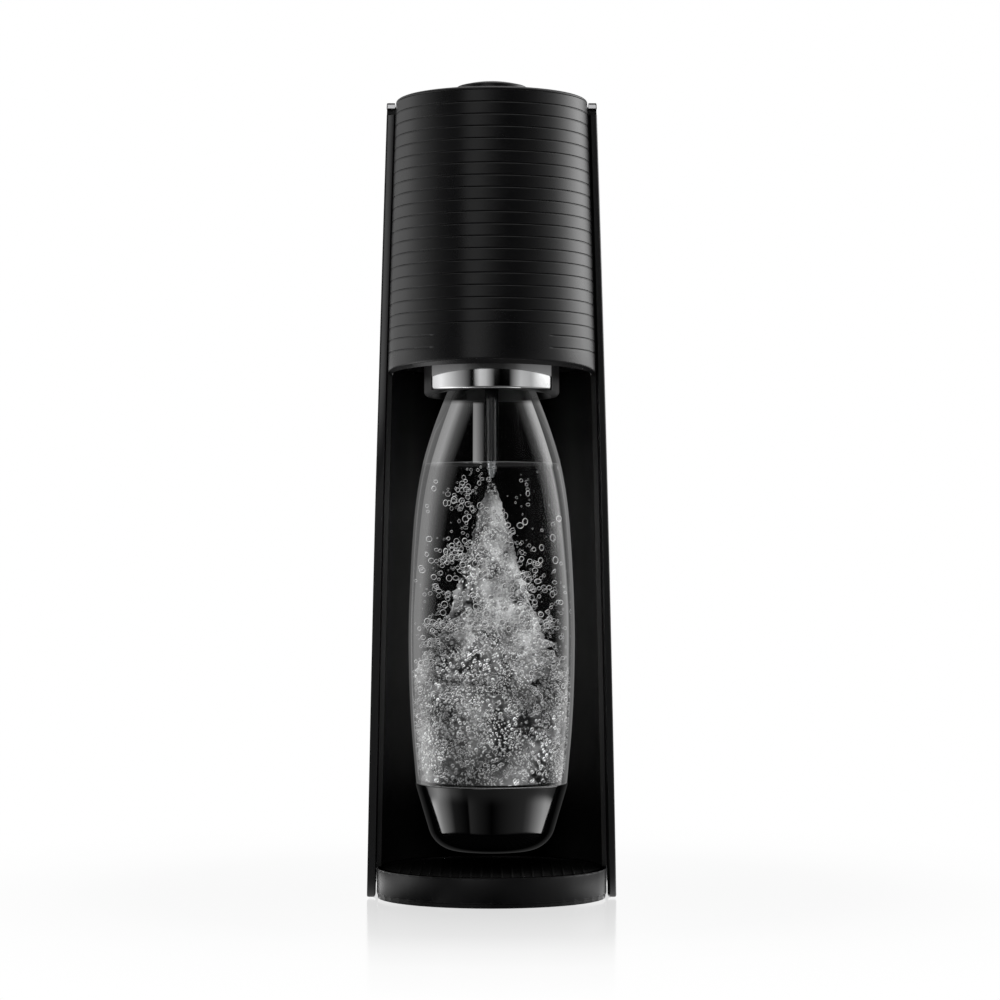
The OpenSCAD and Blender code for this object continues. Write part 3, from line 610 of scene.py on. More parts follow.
def plinth():
    low, r = FOOT_H + 2.2, 0.9
    rings = [plinth_plan(0.5, low), plinth_plan(0.12, low + 0.3), plinth_plan(0.0, low + 0.8)]
    rings += [plinth_plan(r * (1 - math.cos(a)), PLINTH_H - r + r * math.sin(a))
              for a in span(0, math.pi / 2, 7)]
    shell = make("plinth_shell", *skin(rings), 50)
    carve(shell, make("cutter", *skin([bay_plan(0, PLINTH_H - 2.5), bay_plan(0, PLINTH_H + 3)])))
    place(shell, "housing", [], "base_black", plinth_black())


def drip_mat():
    half, pitch = BODY_W / 2 - LIP_T - 6, 5.2
    section = ((-0.6, -1.3), (-0.5, -0.6), (-0.2, -0.4), (0.2, -0.4), (0.5, -0.6), (0.6, -1.3))
    verts, faces = skin([bay_plan(0.35, PLINTH_H - 2.4), bay_plan(0.35, PLINTH_H - 1.35),
                         bay_plan(0.7, PLINTH_H - 1.2)])
    for i in range(MAT_RIBS):
        x = (i - (MAT_RIBS - 1) / 2) * pitch
        reach = math.sqrt(1 - (x / half) ** 2)
        ends = (Y_LIP - (LIP_SET - 7) * reach, BAY_Y + (BAY_D - 7) * reach)
        rib = skin([[(x + dx, y, PLINTH_H + dz) for dx, dz in section] for y in ends])
        verts, faces = add(verts, faces, *rib)
    place(make("ribbed_mat", verts, faces, 30), "housing", ["drip_mat"], "mat_black")


# ---------------- bay and head
def bay_painted_light():
    """Matte liner of the bottle bay, with painted light: greyer at the height of the bottle's belly and
    towards its sides, with painted shade behind the bottle, near the top under the head and towards the
    bottom.
    """
    mat = moulded("bay_liner_painted_light", (0.01, 0.01, 0.0105), (0.48, 0.58), grain=1500, strength=0.4)
    nt, bsdf = shader(mat)
    z = position(nt)[2]
    off = aside(nt)
    # painted light and shade: brighter at mid height and beside the bottle, darker behind it, near the top
    # and near the bottom
    tone = along(nt, z, [(43, 0.005), (114, 0.04), (200, 0.04), (243, 0.01)], 3.5)
    tone = blend(nt, "MULTIPLY", tone, along(nt, off, [(27.5, 0.06), (42.5, 1.0)], 20.0))
    nt.links.new(tone, bsdf.inputs["Base Color"])
    # painted shade in the reflections: less specular behind the bottle
    nt.links.new(along(nt, off, [(27.5, 0.02), (42.5, 0.5)], 20.0), bsdf.inputs["Specular IOR Level"])
    return mat


def bay_wall():
    def path(z, e):
        w = hw(z) - LIP_T - GAP - e
        return [(*oval(a, w, BAY_D + 2.4 - e, BAY_Y), z) for a in span(0, 180, 121)]

    zs = span(PLINTH_H + 0.1, BAY_TOP, 16)
    place(wall("bay_wall", [path(z, 0) for z in zs], [path(z, BAY_T) for z in zs], 30),
          "housing", ["cavity_wall"], "inner_black", bay_painted_light())


def head_path(z, e, rise=0.0, cut=0.0, plain=False):
    """Front path of the head, moved in by e; cut is the depth of a groove there, none on a plain middle."""
    w, b = hx(z) - e, head_b(z) - e
    back = (HEAD_BACK, (HEAD_BACK + Y_LIP) / 2)
    pts = [(-w + 0.55 * cut, y, z) for y in back]
    for a in span(180, 360, 145):
        k = cut
        if plain:
            k = cut * clamp((abs(a - 270) - BADGE_HALF) / 1.2)
        k *= 0.55 + 0.45 * math.sin(math.radians(a)) ** 2
        x, y = oval(a, w - k, b - k, Y_LIP)
        pts.append((x, y, z + rise * max(0, Y_LIP - y) / b))
    return pts + [(w - 0.55 * cut, y, z) for y in reversed(back)]


def head_liner_painted_glow():
    """Inside of the head: a satin liner with a painted glow (emission) standing in for reflected light,
    stronger towards its sides and its lower edge.
    """
    mat, nt, bsdf = tree("head_liner_painted_light")
    z = position(nt)[2]
    painted_side_glow = along(nt, aside(nt), [(11.1, 0.015), (23.3, 0.06), (30.6, 0.15), (50, 0.24)], 18.0)
    low = along(nt, z, [(269.25, 1.0), (281.75, 0.12)], 40.0, 268)
    bsdf.inputs["Base Color"].default_value = (0.02, 0.02, 0.02, 1)
    # painted light: the liner glows, more at its sides and low down
    glow(nt, bsdf, blend(nt, "MULTIPLY", painted_side_glow, low))
    nt.links.new(ramp(nt, noise_tex(nt, coords(nt), 40), [(0.3, 0.4), (0.7, 0.55)]), bsdf.inputs["Roughness"])
    return mat


def grooves():
    """Rings of the head's outside that draw its grooves; the lowest stop short of the plain badge field."""
    section = ((-0.9, 0.0), (-0.66, 0.0), (-0.54, 0.06), (-0.06, 0.94), (0.04, 1.0), (0.12, 0.94),
               (0.34, 0.08), (0.44, 0.0), (0.68, 0.0))
    rings = []
    for i in range(GROOVES - 1, -1, -1):
        z, plain = FIRST_GROOVE - i * PITCH, i >= GROOVES - BADGE_GROOVES
        rings += [head_path(z + dz, 0, 0, GROOVE_D * k, plain) for dz, k in section]
    return rings


def grooved_head():
    outer = [head_path(HEAD_Z + dz, e, RIM_RISE)
             for dz, e in ((0, 0.55), (0.12, 0.2), (0.5, 0.03), (1.0, 0.0))]
    outer += grooves()
    outer += [head_path(HEAD_TOP - 0.6, 0), head_path(HEAD_TOP - 0.1, 0.0), head_path(HEAD_TOP, 0.08)]
    inner = [head_path(HEAD_Z + dz, HEAD_T - e, RIM_RISE - drop)
             for dz, e, drop in ((-0.6, 0.4, 1.5), (-0.5, 0.1, 1.5), (0, 0, 1.4), (1.0, 0, 1.2))]
    inner += [head_path(ring[2][2], HEAD_T) for ring in outer[4:]]
    shell = wall("grooved_head", outer, inner, 28)
    place(shell, "housing", ["head_cover"], "head_black")
    paint(shell, head_liner_painted_glow(), lambda c, n: n.x * c.x + n.y * (c.y - Y_LIP) < 0 and abs(n.z) < 0.5)


def head_lid():
    """The lid over the head, its edge rounded over, with a hole for the button."""
    def ring(z, e):
        w, b = hx(HEAD_TOP) - e, head_b(HEAD_TOP) - e
        pts = [(*oval(a, w, b, Y_LIP), z) for a in span(180, 360, 121)]
        return pts + [(w, LID_BACK - e, z), (-w, LID_BACK - e, z)]

    low, hole = HEAD_TOP + 0.15, 21.1
    edge = ((0, 0.06), (0.08, 0.0), (0.35, 0.0), (0.7, 0.06), (1.05, 0.3), (1.35, 0.7), (1.65, 1.4),
            (1.9, 2.6))
    rings = [ring(low + dz, e) for dz, e in edge] + [ring(LID_TOP - 0.08, 4.6), ring(LID_TOP, 8.0)]
    top = make("head_lid", *skin(rings), 45)
    plug = [(0, low - 3), (hole, low - 3), (hole, LID_TOP + 3), (0, LID_TOP + 3)]
    carve(top, lathe("cutter", plug, 128, Y_LIP))
    place(top, "housing", ["top_cover"], "head_black")


def press_button():
    edge, dome, stem_r = 1.4, 2.6, 4
    z_edge = BUTTON_Z - 3.6
    rim = BUTTON_R - edge
    dome_r = (rim ** 2 + dome ** 2) / (2 * dome)
    prof = [(0, BUTTON_Z - 2.6), (BUTTON_R - 2, z_edge - 1.6), (BUTTON_R - 2, 404.6), (BUTTON_R, 404.6),
            (BUTTON_R, z_edge)]
    prof += [(rim + edge * math.cos(a), z_edge + math.sin(a)) for a in span(0.1, math.pi / 2, 7)]
    prof += [(rim * t, BUTTON_Z - dome_r + math.sqrt(dome_r ** 2 - (rim * t) ** 2))
             for t in span(0.95, 0.0, 16)]
    cap = lathe("press_button", prof, 128, Y_LIP, 50)
    stem = [(0, 386.3), (stem_r - 0.2, 386.3), (stem_r, 386.5), (stem_r, BUTTON_Z - 2.5), (0, BUTTON_Z - 2.5)]
    join(cap, lathe("stem", stem, 48, Y_LIP))
    place(cap, "button", ["button"], "button_black")


def button_sleeve():
    hole = BUTTON_R + 0.2
    prof = [(hole, 396), (hole, LID_TOP + 0.7), (hole + 0.2, LID_TOP + 0.9), (22.2, LID_TOP + 0.9),
            (22.55, LID_TOP + 0.7), (22.6, LID_TOP + 0.3), (22.6, LID_TOP + 0.05), (21, LID_TOP + 0.05),
            (21, 394), (4.3, 394), (4.3, 396), (hole, 396)]
    place(lathe("button_sleeve", prof, 128, Y_LIP), "housing", ["button_guide"], "inner_black")


# ---------------- collar, nozzle
def collar_painted_sheen():
    """The collar's black, with a painted sheen (emission) on the edge-on parts of its outer sides, near its
    lower rim.
    """
    nt, bsdf = shader(M["holder_black"])
    z = position(nt)[2]
    up = along(nt, z, [(257.6, 0.15), (260, 0.9), (264, 0.8), (268, 0.15), (276, 0.1)], 50.0, 256)
    edge = facing_ramp(nt, [(0.4, 0.0), (0.55, 0.03), (0.8, 0.05), (1.0, 0.02)])
    outer = along(nt, aside(nt), [(26.5, 0.1), (29.5, 1.0)], 20.0)
    # painted sheen: emission on the collar's edge-on outer sides
    glow(nt, bsdf, blend(nt, "MULTIPLY", blend(nt, "MULTIPLY", edge, up), outer))
    return M["holder_black"]


def collar():
    """The bottle holder: a ring with a recess for the chrome band, a lifted front rim and pivot bosses."""
    low, steps, recess = HOLDER_LOW, 240, 1.25
    degs = [-180 + 360 * i / steps for i in range(steps)]

    def ring(z, r=None, lifted=True):
        pts = []
        for deg in degs:
            in_recess = -151 < deg < -29 and z > low + 2.4
            radius = (HOLDER_R - (recess if in_recess else 0)) if r is None else r
            x, y = oval(deg, radius, radius, AXIS_Y)
            ahead = max(0.0, -HOLDER_R * math.sin(math.radians(deg)) - 8)
            lift = ahead * 0.0885 * max(0.0, 1 - (z - low) / 3.0) if lifted else 0
            pts.append((x, y, z + lift))
        return pts

    rim = ((HOLDER_IN, HOLDER_TOP - 3.05), (HOLDER_IN, low + 0.8), (HOLDER_IN + 0.2, low + 0.25),
           (HOLDER_IN + 0.6, low), (HOLDER_R - 2.9, low), (HOLDER_R - 1.7, low + 0.25),
           (HOLDER_R - 0.75, low + 0.85), (HOLDER_R - 0.2, low + 1.65), (HOLDER_R, low + 2.38))
    roof = ((HOLDER_R - 1.4, HOLDER_TOP), (16, HOLDER_TOP), (16, HOLDER_TOP - 3),
            (HOLDER_IN, HOLDER_TOP - 3.05))
    rings = [ring(z, r) for r, z in rim]
    rings += [ring(z) for z in [low + 2.45, low + 3] + span(low + 6, HOLDER_TOP - 0.5, 6)]
    rings += [ring(z, r, False) for r, z in roof]
    body = make("collar_body", *skin(rings, capped=False), 35)
    pivot = [(0, 32), (6, 32), (6, 37.8), (5.6, 38.2), (2.55, 38.2), (2.55, 33.6), (0, 33.6)]
    for sx in (1, -1):
        boss = lathe("boss", pivot, 48)
        for v in boss.data.vertices:
            x, y, z = v.co
            v.co = (sx * z, AXIS_Y * MM + x, 287 * MM + y)
        join(body, boss)
    place(body, "holder", ["bottle_holder"], "holder_black", collar_painted_sheen())


def chrome_band():
    """The band in the collar's recess: a bent strip with bevelled edges and rounded lower corners."""
    z0, z1 = HOLDER_LOW + 2.6, HOLDER_TOP - 0.2
    r_in, r_out = HOLDER_R - 1.15, HOLDER_R + 0.25
    tall, reach = z1 - z0, math.radians(BAND_HALF) * HOLDER_R
    rows = [0, 0.12, 0.3, 0.55, 0.9, 1.5, 2.2] + span(4, tall - 2, 8) + [tall - 0.9, tall - 0.3, tall]

    def bevel(d):
        return 0.5 * (1 - clamp(d / 0.7)) ** 2

    def point(r, s, z):
        a = -math.pi / 2 + s / HOLDER_R
        return r * math.cos(a), AXIS_Y + r * math.sin(a), z

    outer, inner = [], []
    for h in rows:
        ro, ri = [], []
        for s in span(-reach, reach, 161):
            end = reach - abs(s)
            lift = BAND_CORNER - math.sqrt(max(0, BAND_CORNER ** 2 - max(0, BAND_CORNER - end) ** 2))
            z = z0 + lift + h / tall * (tall - lift)
            r = r_out - max(bevel(end), bevel(z - z0 - lift), bevel(z1 - z))
            ro.append(point(r, s, z))
            ri.append(point(r_in, s, z))
        outer.append(ro)
        inner.append(ri)
    place(wall("chrome_front", outer, inner, 60), "holder", ["chrome_band"], "chrome")


def nozzle():
    """The hanging tube with its flutes, and the flange that holds it in the collar."""
    steps, bore = 96, 1.6

    def fluted(z, depth=FLUTE_D):
        pts = []
        for i in range(steps):
            a = 2 * math.pi * i / steps
            r = FLUTE_R + depth * max(0.0, math.cos(FLUTES * a)) ** 5
            pts.append((r * math.cos(a), AXIS_Y + r * math.sin(a), z))
        return pts

    def rings(profile):
        return [circle(r, z, steps, AXIS_Y) for r, z in profile]

    tube = rings(((bore, 296), (bore, 224.1), (2.7, 224), (FLUTE_R, 224.5)))
    tube += [fluted(225), fluted(282), fluted(283, 0)]
    tube += rings(((6, 283), (6, 290), (3.1, 290), (3.1, 296), (bore, 296)))
    stem = make("nozzle_stem", *skin(tube, capped=False), 35)
    place(stem, "holder", ["nozzle_tube"], "nozzle_grey")


# ---------------- bottle
LOW_R = bottle_out(CUP_TOP) - 1.5


def inner_r(z):
    """Inside radius of the bottle at height z, its wall thicker towards the neck."""
    return max(11.0, bottle_out(z) - BOTTLE_T - max(0, z - 240) * 0.14)


def bottle_painted_highlights():
    """Outside of the bottle: clear, with painted highlight bands (emission) along its outline in place of a
    studio's reflections, fainter under the collar as painted shade.
    """
    mat = clear("clear_bottle", BOTTLE_IOR, BOTTLE_TINT)
    nt, bsdf = shader(mat)
    bsdf.inputs["Coat Weight"].default_value = 0.12
    bsdf.inputs["Coat Roughness"].default_value = 0.02
    x, y, z = position(nt)
    # heights are taken on planes that tip forward, as the painted bands' ends do
    level = math_node(nt, "SUBTRACT", z, times(nt, math_node(nt, "ADD", y, -AXIS_Y * MM), 0.063))
    tall = 3.5
    under_collar = along(nt, level, [(255.3, 0.0), (256, 1.0)], tall)
    dry = along(nt, level, [(222.6, 0.0), (224, 1.0)], tall)
    right = along(nt, x, [(-2, 0.0), (2, 1.0)], 100.0, -5)
    front = along(nt, times(nt, y, -1.0), [(36.2, 0.0), (36.8, 1.0)], 10.0)

    # the shoulder leans away from the eye, so its painted bands lie further in than on the belly
    lean = times(nt, math_node(nt, "SUBTRACT", math_node(nt, "MAXIMUM", z, 0.15), 0.184), 1.6)
    edge_on = math_node(nt, "ADD", node(nt, "LayerWeight", Blend=0.5).outputs["Facing"], lean)
    left_air = ramp(nt, edge_on, [(0.25, 0.0), (0.35, 0.08), (0.45, 0.3), (0.6, 0.25), (0.61, 0.1),
                                  (1.0, 0.15)])
    right_air = ramp(nt, edge_on, [(0.3, 0.0), (0.4, 0.05), (0.5, 0.3), (0.55, 0.4), (0.6, 0.4), (0.61, 0.05),
                                   (0.75, 0.1), (0.9, 0.2)])
    left_wet = ramp(nt, edge_on, [(0.2, 0.0), (0.3, 0.05), (0.45, 0.2), (0.6, 0.2), (0.61, 0.1)])
    right_wet = ramp(nt, edge_on, [(0.3, 0.0), (0.4, 0.08), (0.55, 0.3), (0.6, 0.05), (0.8, 0.2)])
    painted_lit_bands = blend(nt, "MIX", blend(nt, "MIX", left_wet, right_wet, right),
                     blend(nt, "MIX", left_air, right_air, right), dry)
    # painted shade of the collar: fainter bands under it
    painted_collar_shade = facing_ramp(nt, [(0.35, 0.0), (0.6, 0.05), (1.0, 0.07)])
    painted_bands = blend(nt, "MIX", painted_lit_bands, painted_collar_shade, under_collar)

    # a painted reflection: an upright bright strip left of the nozzle, from the water to the collar
    painted_strip = along(nt, x, [(-9.5, 0.0), (-9.2, 0.25), (-8, 0.25), (-5.5, 0.1), (-3.5, 0.0)], 100.0, -12.5)
    rise = along(nt, level, [(224.9, 0.0), (225.4, 1.0), (254.9, 0.8), (255.6, 0.0)], tall)
    painted_bands = blend(nt, "ADD", painted_bands, blend(nt, "MULTIPLY", painted_strip, rise))
    # the painted bands glow (emission), on the front half only
    glow(nt, bsdf, blend(nt, "MULTIPLY", painted_bands, front))
    return mat


def bottle_wall():
    """The clear bottle, its outside and inside drawn as one closed profile."""
    flange_r, bead_r = NECK_R + 3.5, NECK_R + 1.2
    outer = bowl(LOW_R, BOWL_D, 90, 0, 16) + [(LOW_R + 0.6, CUP_TOP + 0.02)]
    outer += [(bottle_out(z), z) for z in span(CUP_TOP + 0.3, FLANGE - 1, 72)]
    outer += [(flange_r - 0.2, FLANGE + 0.2), (flange_r, FLANGE + 0.6), (flange_r, FLANGE + 2.2),
              (flange_r - 0.3, FLANGE + 2.5), (NECK_R, FLANGE + 3), (NECK_R, 281), (bead_r, 281.6),
              (bead_r, 283), (NECK_R, 283.6), (NECK_R, BOTTLE_TOP - 0.3), (NECK_R - 0.3, BOTTLE_TOP)]
    inner = [(11.3, BOTTLE_TOP), (11, BOTTLE_TOP - 0.3), (11, FLANGE)]
    inner += [(inner_r(z), z) for z in span(FLANGE - 6, CUP_TOP + 2, 66)]
    inner += bowl(LOW_R - BOTTLE_T, BOWL_D - 2, 0, 90, 16)
    bottle = lathe("clear_bottle_wall", outer + inner, 160, AXIS_Y, 50)
    bottle.visible_shadow = False
    place(bottle, "bottle", ["bottle_shell"], "bottle_clear")
    paint(bottle, bottle_painted_highlights(), lambda c, n: n.x * c.x + n.y * (c.y - AXIS_Y) > 0)


def cup_painted_rim_reflection():
    """The cup's gloss black, with a painted reflection (emission) along its outline."""
    nt, bsdf = shader(M["bottle_base_black"])
    # painted reflection: the cup glows faintly where seen edge-on
    glow(nt, bsdf, facing_ramp(nt, [(0.62, 0.0), (0.72, 0.008), (0.86, 0.025), (1.0, 0.055)]))
    return M["bottle_base_black"]


def bottle_cup():
    """The cup: a flat foot, a rounded corner, a tapered side, and a hollow for the bottle."""
    r_top, tilt = bottle_out(CUP_TOP) + 0.4, math.atan(CUP_SLOPE)
    z_c = BOTTLE_Z + CUP_FILLET
    z_t = z_c - CUP_FILLET * math.sin(tilt)
    r_c = r_top - (CUP_TOP - z_t) * CUP_SLOPE - CUP_FILLET * math.cos(tilt)
    prof = [(0, BOTTLE_Z + 1.5), (r_c - 6, BOTTLE_Z + 1.5), (r_c - 4, BOTTLE_Z + 0.2), (r_c - 3, BOTTLE_Z)]
    prof += arc(r_c, z_c, CUP_FILLET, -90, -math.degrees(tilt), 16)
    prof += [(r_top - 0.05, CUP_TOP - 0.8), (r_top, CUP_TOP - 0.45), (r_top - 0.08, CUP_TOP - 0.15),
             (r_top - 0.3, CUP_TOP), (LOW_R + 0.3, CUP_TOP)]
    prof += bowl(LOW_R + 0.25, BOWL_D + 0.25, 0, 90, 14)
    cup = lathe("bottle_cup", prof, 160, AXIS_Y, 50)
    place(cup, "bottle", ["bottle_base"], "bottle_base_black", cup_painted_rim_reflection())


# ---------------- water, foam and bubbles
def water_painted_surface_glint():
    mat = clear("water", 1.04, (0.97, 0.975, 0.98))
    nt, bsdf = shader(mat)
    z = position(nt)[2]
    # painted highlight: a faint glow (emission) on the water's surface, from the waterline up
    glow(nt, bsdf, along(nt, z, [(222.6, 0.0), (223.1, 0.04)], 4.0))
    return mat


def bubble_texture_painted_rims(nt, vec, scale):
    """Packed bubbles as a texture: each has a painted highlight on its rim, strongest on its upper left and
    weaker opposite, and a faint painted glint at its centre.
    """
    cells = node(nt, "TexVoronoi", Scale=scale, Randomness=1.0)
    nt.links.new(vec, cells.inputs["Vector"])
    away = node(nt, "VectorMath", operation="SUBTRACT")
    nt.links.new(vec, away.inputs[0])
    nt.links.new(cells.outputs["Position"], away.inputs[1])
    unit = node(nt, "VectorMath", operation="NORMALIZE")
    nt.links.new(away.outputs[0], unit.inputs[0])
    # painted highlight: which side of each bubble faces the light
    side = lit_side(nt, unit.outputs[0], (-0.5, -0.25, 0.83))
    painted_glint = ramp(nt, side, [(0.0, 0.75), (0.25, 0.3), (0.5, 0.2), (0.72, 0.6), (0.95, 1.0)])
    gap = cells.outputs["Distance"]
    rim = ramp(nt, gap, [(0.0, 0.0), (0.2, 0.04), (0.29, 1.3), (0.37, 1.0), (0.44, 0.0)])
    core = ramp(nt, gap, [(0.0, 0.3), (0.1, 0.1), (0.3, 0.1), (0.5, 0.03), (0.7, 0.004)])
    return blend(nt, "ADD", core, blend(nt, "MULTIPLY", rim, painted_glint)), gap


def water():
    """The water, a hair inside the bottle, its surface curving up at the wall."""
    clearance = 0.12
    prof = [(0, CUP_TOP - BOWL_D + 2 + clearance)]
    prof += bowl(LOW_R - BOTTLE_T - clearance, BOWL_D - 2 - clearance, 80, 5, 12)
    prof += [(inner_r(z) - clearance, z) for z in span(CUP_TOP + 2, WATER_Z, 60)]
    r = inner_r(WATER_Z) - clearance
    prof += [(r - 0.4, WATER_Z - 0.25), (r - 1.2, WATER_Z - 0.5), (r - 3, WATER_Z - 0.6), (0, WATER_Z - 0.6)]
    body = lathe("water", prof, 144, AXIS_Y, 60)
    body.visible_shadow = False
    place(body, "bottle", [], "bottle_clear", water_painted_surface_glint())


def plume(z):
    """Radius of the foam at height z: a cloud in the belly that narrows to a jet under the nozzle."""
    keys = [(60, 38), (75, 39.5), (92, 40), (106, 38.5), (118, 35.5), (130, 31), (142, 26), (153, 21),
            (164, 16), (174, 12.8), (184, 10.5), (194, 7.4), (204, 4.5), (210, 2.4), (214, 1.0)]
    zs, rs = zip(*keys)
    return float(np.interp(z, zs, rs))


def foam_painted_glow():
    """Foam: two sizes of packed bubbles with painted rim highlights, misty and darker patches, and a painted
    glow (emission) in place of the light it catches.
    """
    mat, nt, bsdf = tree("foam")
    warp = node(nt, "TexNoise", Scale=180, Detail=2.0)
    nt.links.new(coords(nt), warp.inputs["Vector"])
    bent = node(nt, "VectorMath", operation="MULTIPLY_ADD")
    nt.links.new(warp.outputs["Color"], bent.inputs[0])
    bent.inputs[1].default_value = (0.0016, 0.0016, 0.0016)
    nt.links.new(coords(nt), bent.inputs[2])
    vec = bent.outputs[0]
    coarse, height = bubble_texture_painted_rims(nt, vec, 380)
    fine = bubble_texture_painted_rims(nt, vec, 800)[0]
    patch = ramp(nt, noise_tex(nt, vec, 60, 3.0), [(0.44, 0.0), (0.54, 1.0)])
    shade = blend(nt, "MIX", coarse, fine, patch)
    z = position(nt)[2]
    upper = along(nt, z, [(115, 0.3), (150, 1.0)], 4.0)
    mist = blend(nt, "MULTIPLY", ramp(nt, noise_tex(nt, vec, 48, 4.0), [(0.42, 0.0), (0.6, 0.75)]), upper)
    shade = blend(nt, "MIX", shade, 0.75, mist)
    shade = blend(nt, "MULTIPLY", shade, ramp(nt, noise_tex(nt, vec, 34, 4.0), [(0.38, 0.35), (0.56, 1.1)]))
    nt.links.new(shade, bsdf.inputs["Base Color"])
    # painted light: the foam glows with its own shading
    glow(nt, bsdf, shade, 0.5)
    bsdf.inputs["Roughness"].default_value = 0.25
    bump(nt, bsdf, height, 0.5, 0.0004)
    return mat


def foam():
    """The foam's surface, roughened by noise and kept inside the bottle."""
    rings, steps, top = [], 150, 214
    for z in span(60, top, 200):
        ring = []
        jagged = 1 if z > 110 else 0.3
        for i in range(steps):
            a = 2 * math.pi * i / steps
            p = Vector((math.cos(a) * 1.8, math.sin(a) * 1.8, z * 0.075))
            swell = 0.22 * noise.fractal(p * 1.5, 1.0, 2.0, 4) + 0.12 * noise.noise(p * 4.5)
            r = plume(z) * (0.88 + swell * jagged) + 0.8 * noise.noise(p * 9) + 0.6 * noise.noise(p * 26)
            r = min(r, inner_r(z) - 1.2)
            ring.append((r * math.cos(a), AXIS_Y + r * math.sin(a), z))
        rings.append(ring)
    place(make("foam_plume", *skin(rings), 180), "bottle", [], None, foam_painted_glow())


def bubble_painted_rim():
    """A bubble in water: nearly clear, with a painted highlight (emission) on its rim, bright on its upper
    left and its lower right.
    """
    mat, nt, bsdf = tree("bubble")
    bsdf.inputs["Base Color"].default_value = (0.01, 0.01, 0.01, 1)
    bsdf.inputs["Roughness"].default_value = 0.1
    side = lit_side(nt, node(nt, "TexCoord").outputs["Normal"], (-0.5, -0.2, 0.84))
    painted_glint = ramp(nt, side, [(0.0, 1.0), (0.22, 0.6), (0.5, 0.35), (0.75, 0.7), (1.0, 1.0)])
    vary = ramp(nt, noise_tex(nt, coords(nt), 260, 1.0), [(0.35, 0.55), (0.65, 1.0)])
    rim = facing_ramp(nt, [(0.0, 0.01), (0.4, 0.01), (0.54, 1.0), (0.72, 1.4), (0.86, 0.3), (0.95, 0.02)])
    # painted highlight: the rim glows, most on its upper left and lower right
    glow(nt, bsdf, blend(nt, "MULTIPLY", blend(nt, "MULTIPLY", rim, painted_glint), vary))
    alpha = facing_ramp(nt, [(0.0, 0.15), (0.28, 0.18), (0.4, 0.95), (0.85, 1.0), (1.0, 0.6)])
    nt.links.new(alpha, bsdf.inputs["Alpha"])
    return mat


def scatter(rng, count, size, low, high, reach):
    """Places and radii of bubbles around the foam, thinned out upwards in drifts."""
    places, radii = [], []
    while len(places) < count:
        z = low + (high - low) * rng.random() ** 1.1
        edge = inner_r(z) - 1.2
        inside = min(plume(z), edge - 0.5)
        r = inside + (edge - inside) * min(1, abs(rng.normal(0.02, reach)))
        a = -math.pi * rng.random() if rng.random() < 0.85 else math.pi * rng.random()
        crowd = noise.noise(Vector((r * math.cos(a) * 0.07, r * math.sin(a) * 0.03, z * 0.07)))
        if z > 140 and rng.random() < (z - 150) / 100 + 0.3 - 1.2 * crowd:
            continue
        s = (size[0] + (size[1] - size[0]) * rng.random() ** 1.8) * (1.15 if z > 140 else 1)
        if r + s > edge + 1.0 or z + s > WATER_Z - 0.8:
            continue
        places.append((r * math.cos(a), r * math.sin(a), z))
        radii.append(s)
    return np.array(places), np.array(radii)


def bubbles(rng, name, material, count, detail, size, low=66, high=WATER_Z - 2, reach=0.42):
    """One mesh of slightly squashed spheres."""
    bm = bmesh.new()
    bmesh.ops.create_icosphere(bm, subdivisions=detail, radius=1.0)
    base = np.array([v.co for v in bm.verts])
    tris = np.array([[v.index for v in f.verts] for f in bm.faces])
    bm.free()
    places, radii = scatter(rng, count, size, low, high, reach)
    squash = 1 + 0.4 * rng.random((count, 1, 3)) - 0.25
    pts = places[:, None, :] + base[None] * radii[:, None, None] * squash
    pts[..., 1] += AXIS_Y
    faces = (tris[None] + (np.arange(count) * len(base))[:, None, None]).reshape(-1, 3)
    mesh = bpy.data.meshes.new(name)
    mesh.from_pydata((pts.reshape(-1, 3) * MM).tolist(), [], faces.tolist())
    mesh.polygons.foreach_set("use_smooth", [True] * len(mesh.polygons))
    obj = bpy.data.objects.new(name, mesh)
    scene.collection.objects.link(obj)
    obj.visible_shadow = False
    place(obj, "bottle", [], None, material)


def all_bubbles():
    rng, rim = np.random.default_rng(7), bubble_painted_rim()
    bubbles(rng, "bubbles_large", rim, 420, 2, (0.75, 1.5))
    bubbles(rng, "bubbles_rising", rim, 330, 2, (0.8, 1.55), 138, 216, 0.5)
    bubbles(rng, "bubbles_small", rim, 1500, 1, (0.3, 0.75))


# ---------------- studio
def around(nt, x, y, stops):
    """A level that follows the azimuth of (x, y): 0 is the front, positive to the right, in degrees."""
    turn = math_node(nt, "ARCTAN2", x, math_node(nt, "MULTIPLY", y, -1.0))
    fac = math_node(nt, "ADD", math_node(nt, "DIVIDE", turn, 2 * math.pi), 0.5)
    return ramp(nt, fac, [(a / 360 + 0.5, v) for a, v in stops])


def by_camera(nt, seen, lights, out):
    """The camera sees one shader; the other rays are lit by another."""
    path = node(nt, "LightPath")
    pick = node(nt, "MixShader")
    nt.links.new(path.outputs["Is Camera Ray"], pick.inputs["Fac"])
    nt.links.new(lights.outputs[0], pick.inputs[1])
    nt.links.new(seen.outputs[0], pick.inputs[2])
    nt.links.new(pick.outputs[0], out.inputs["Surface"])


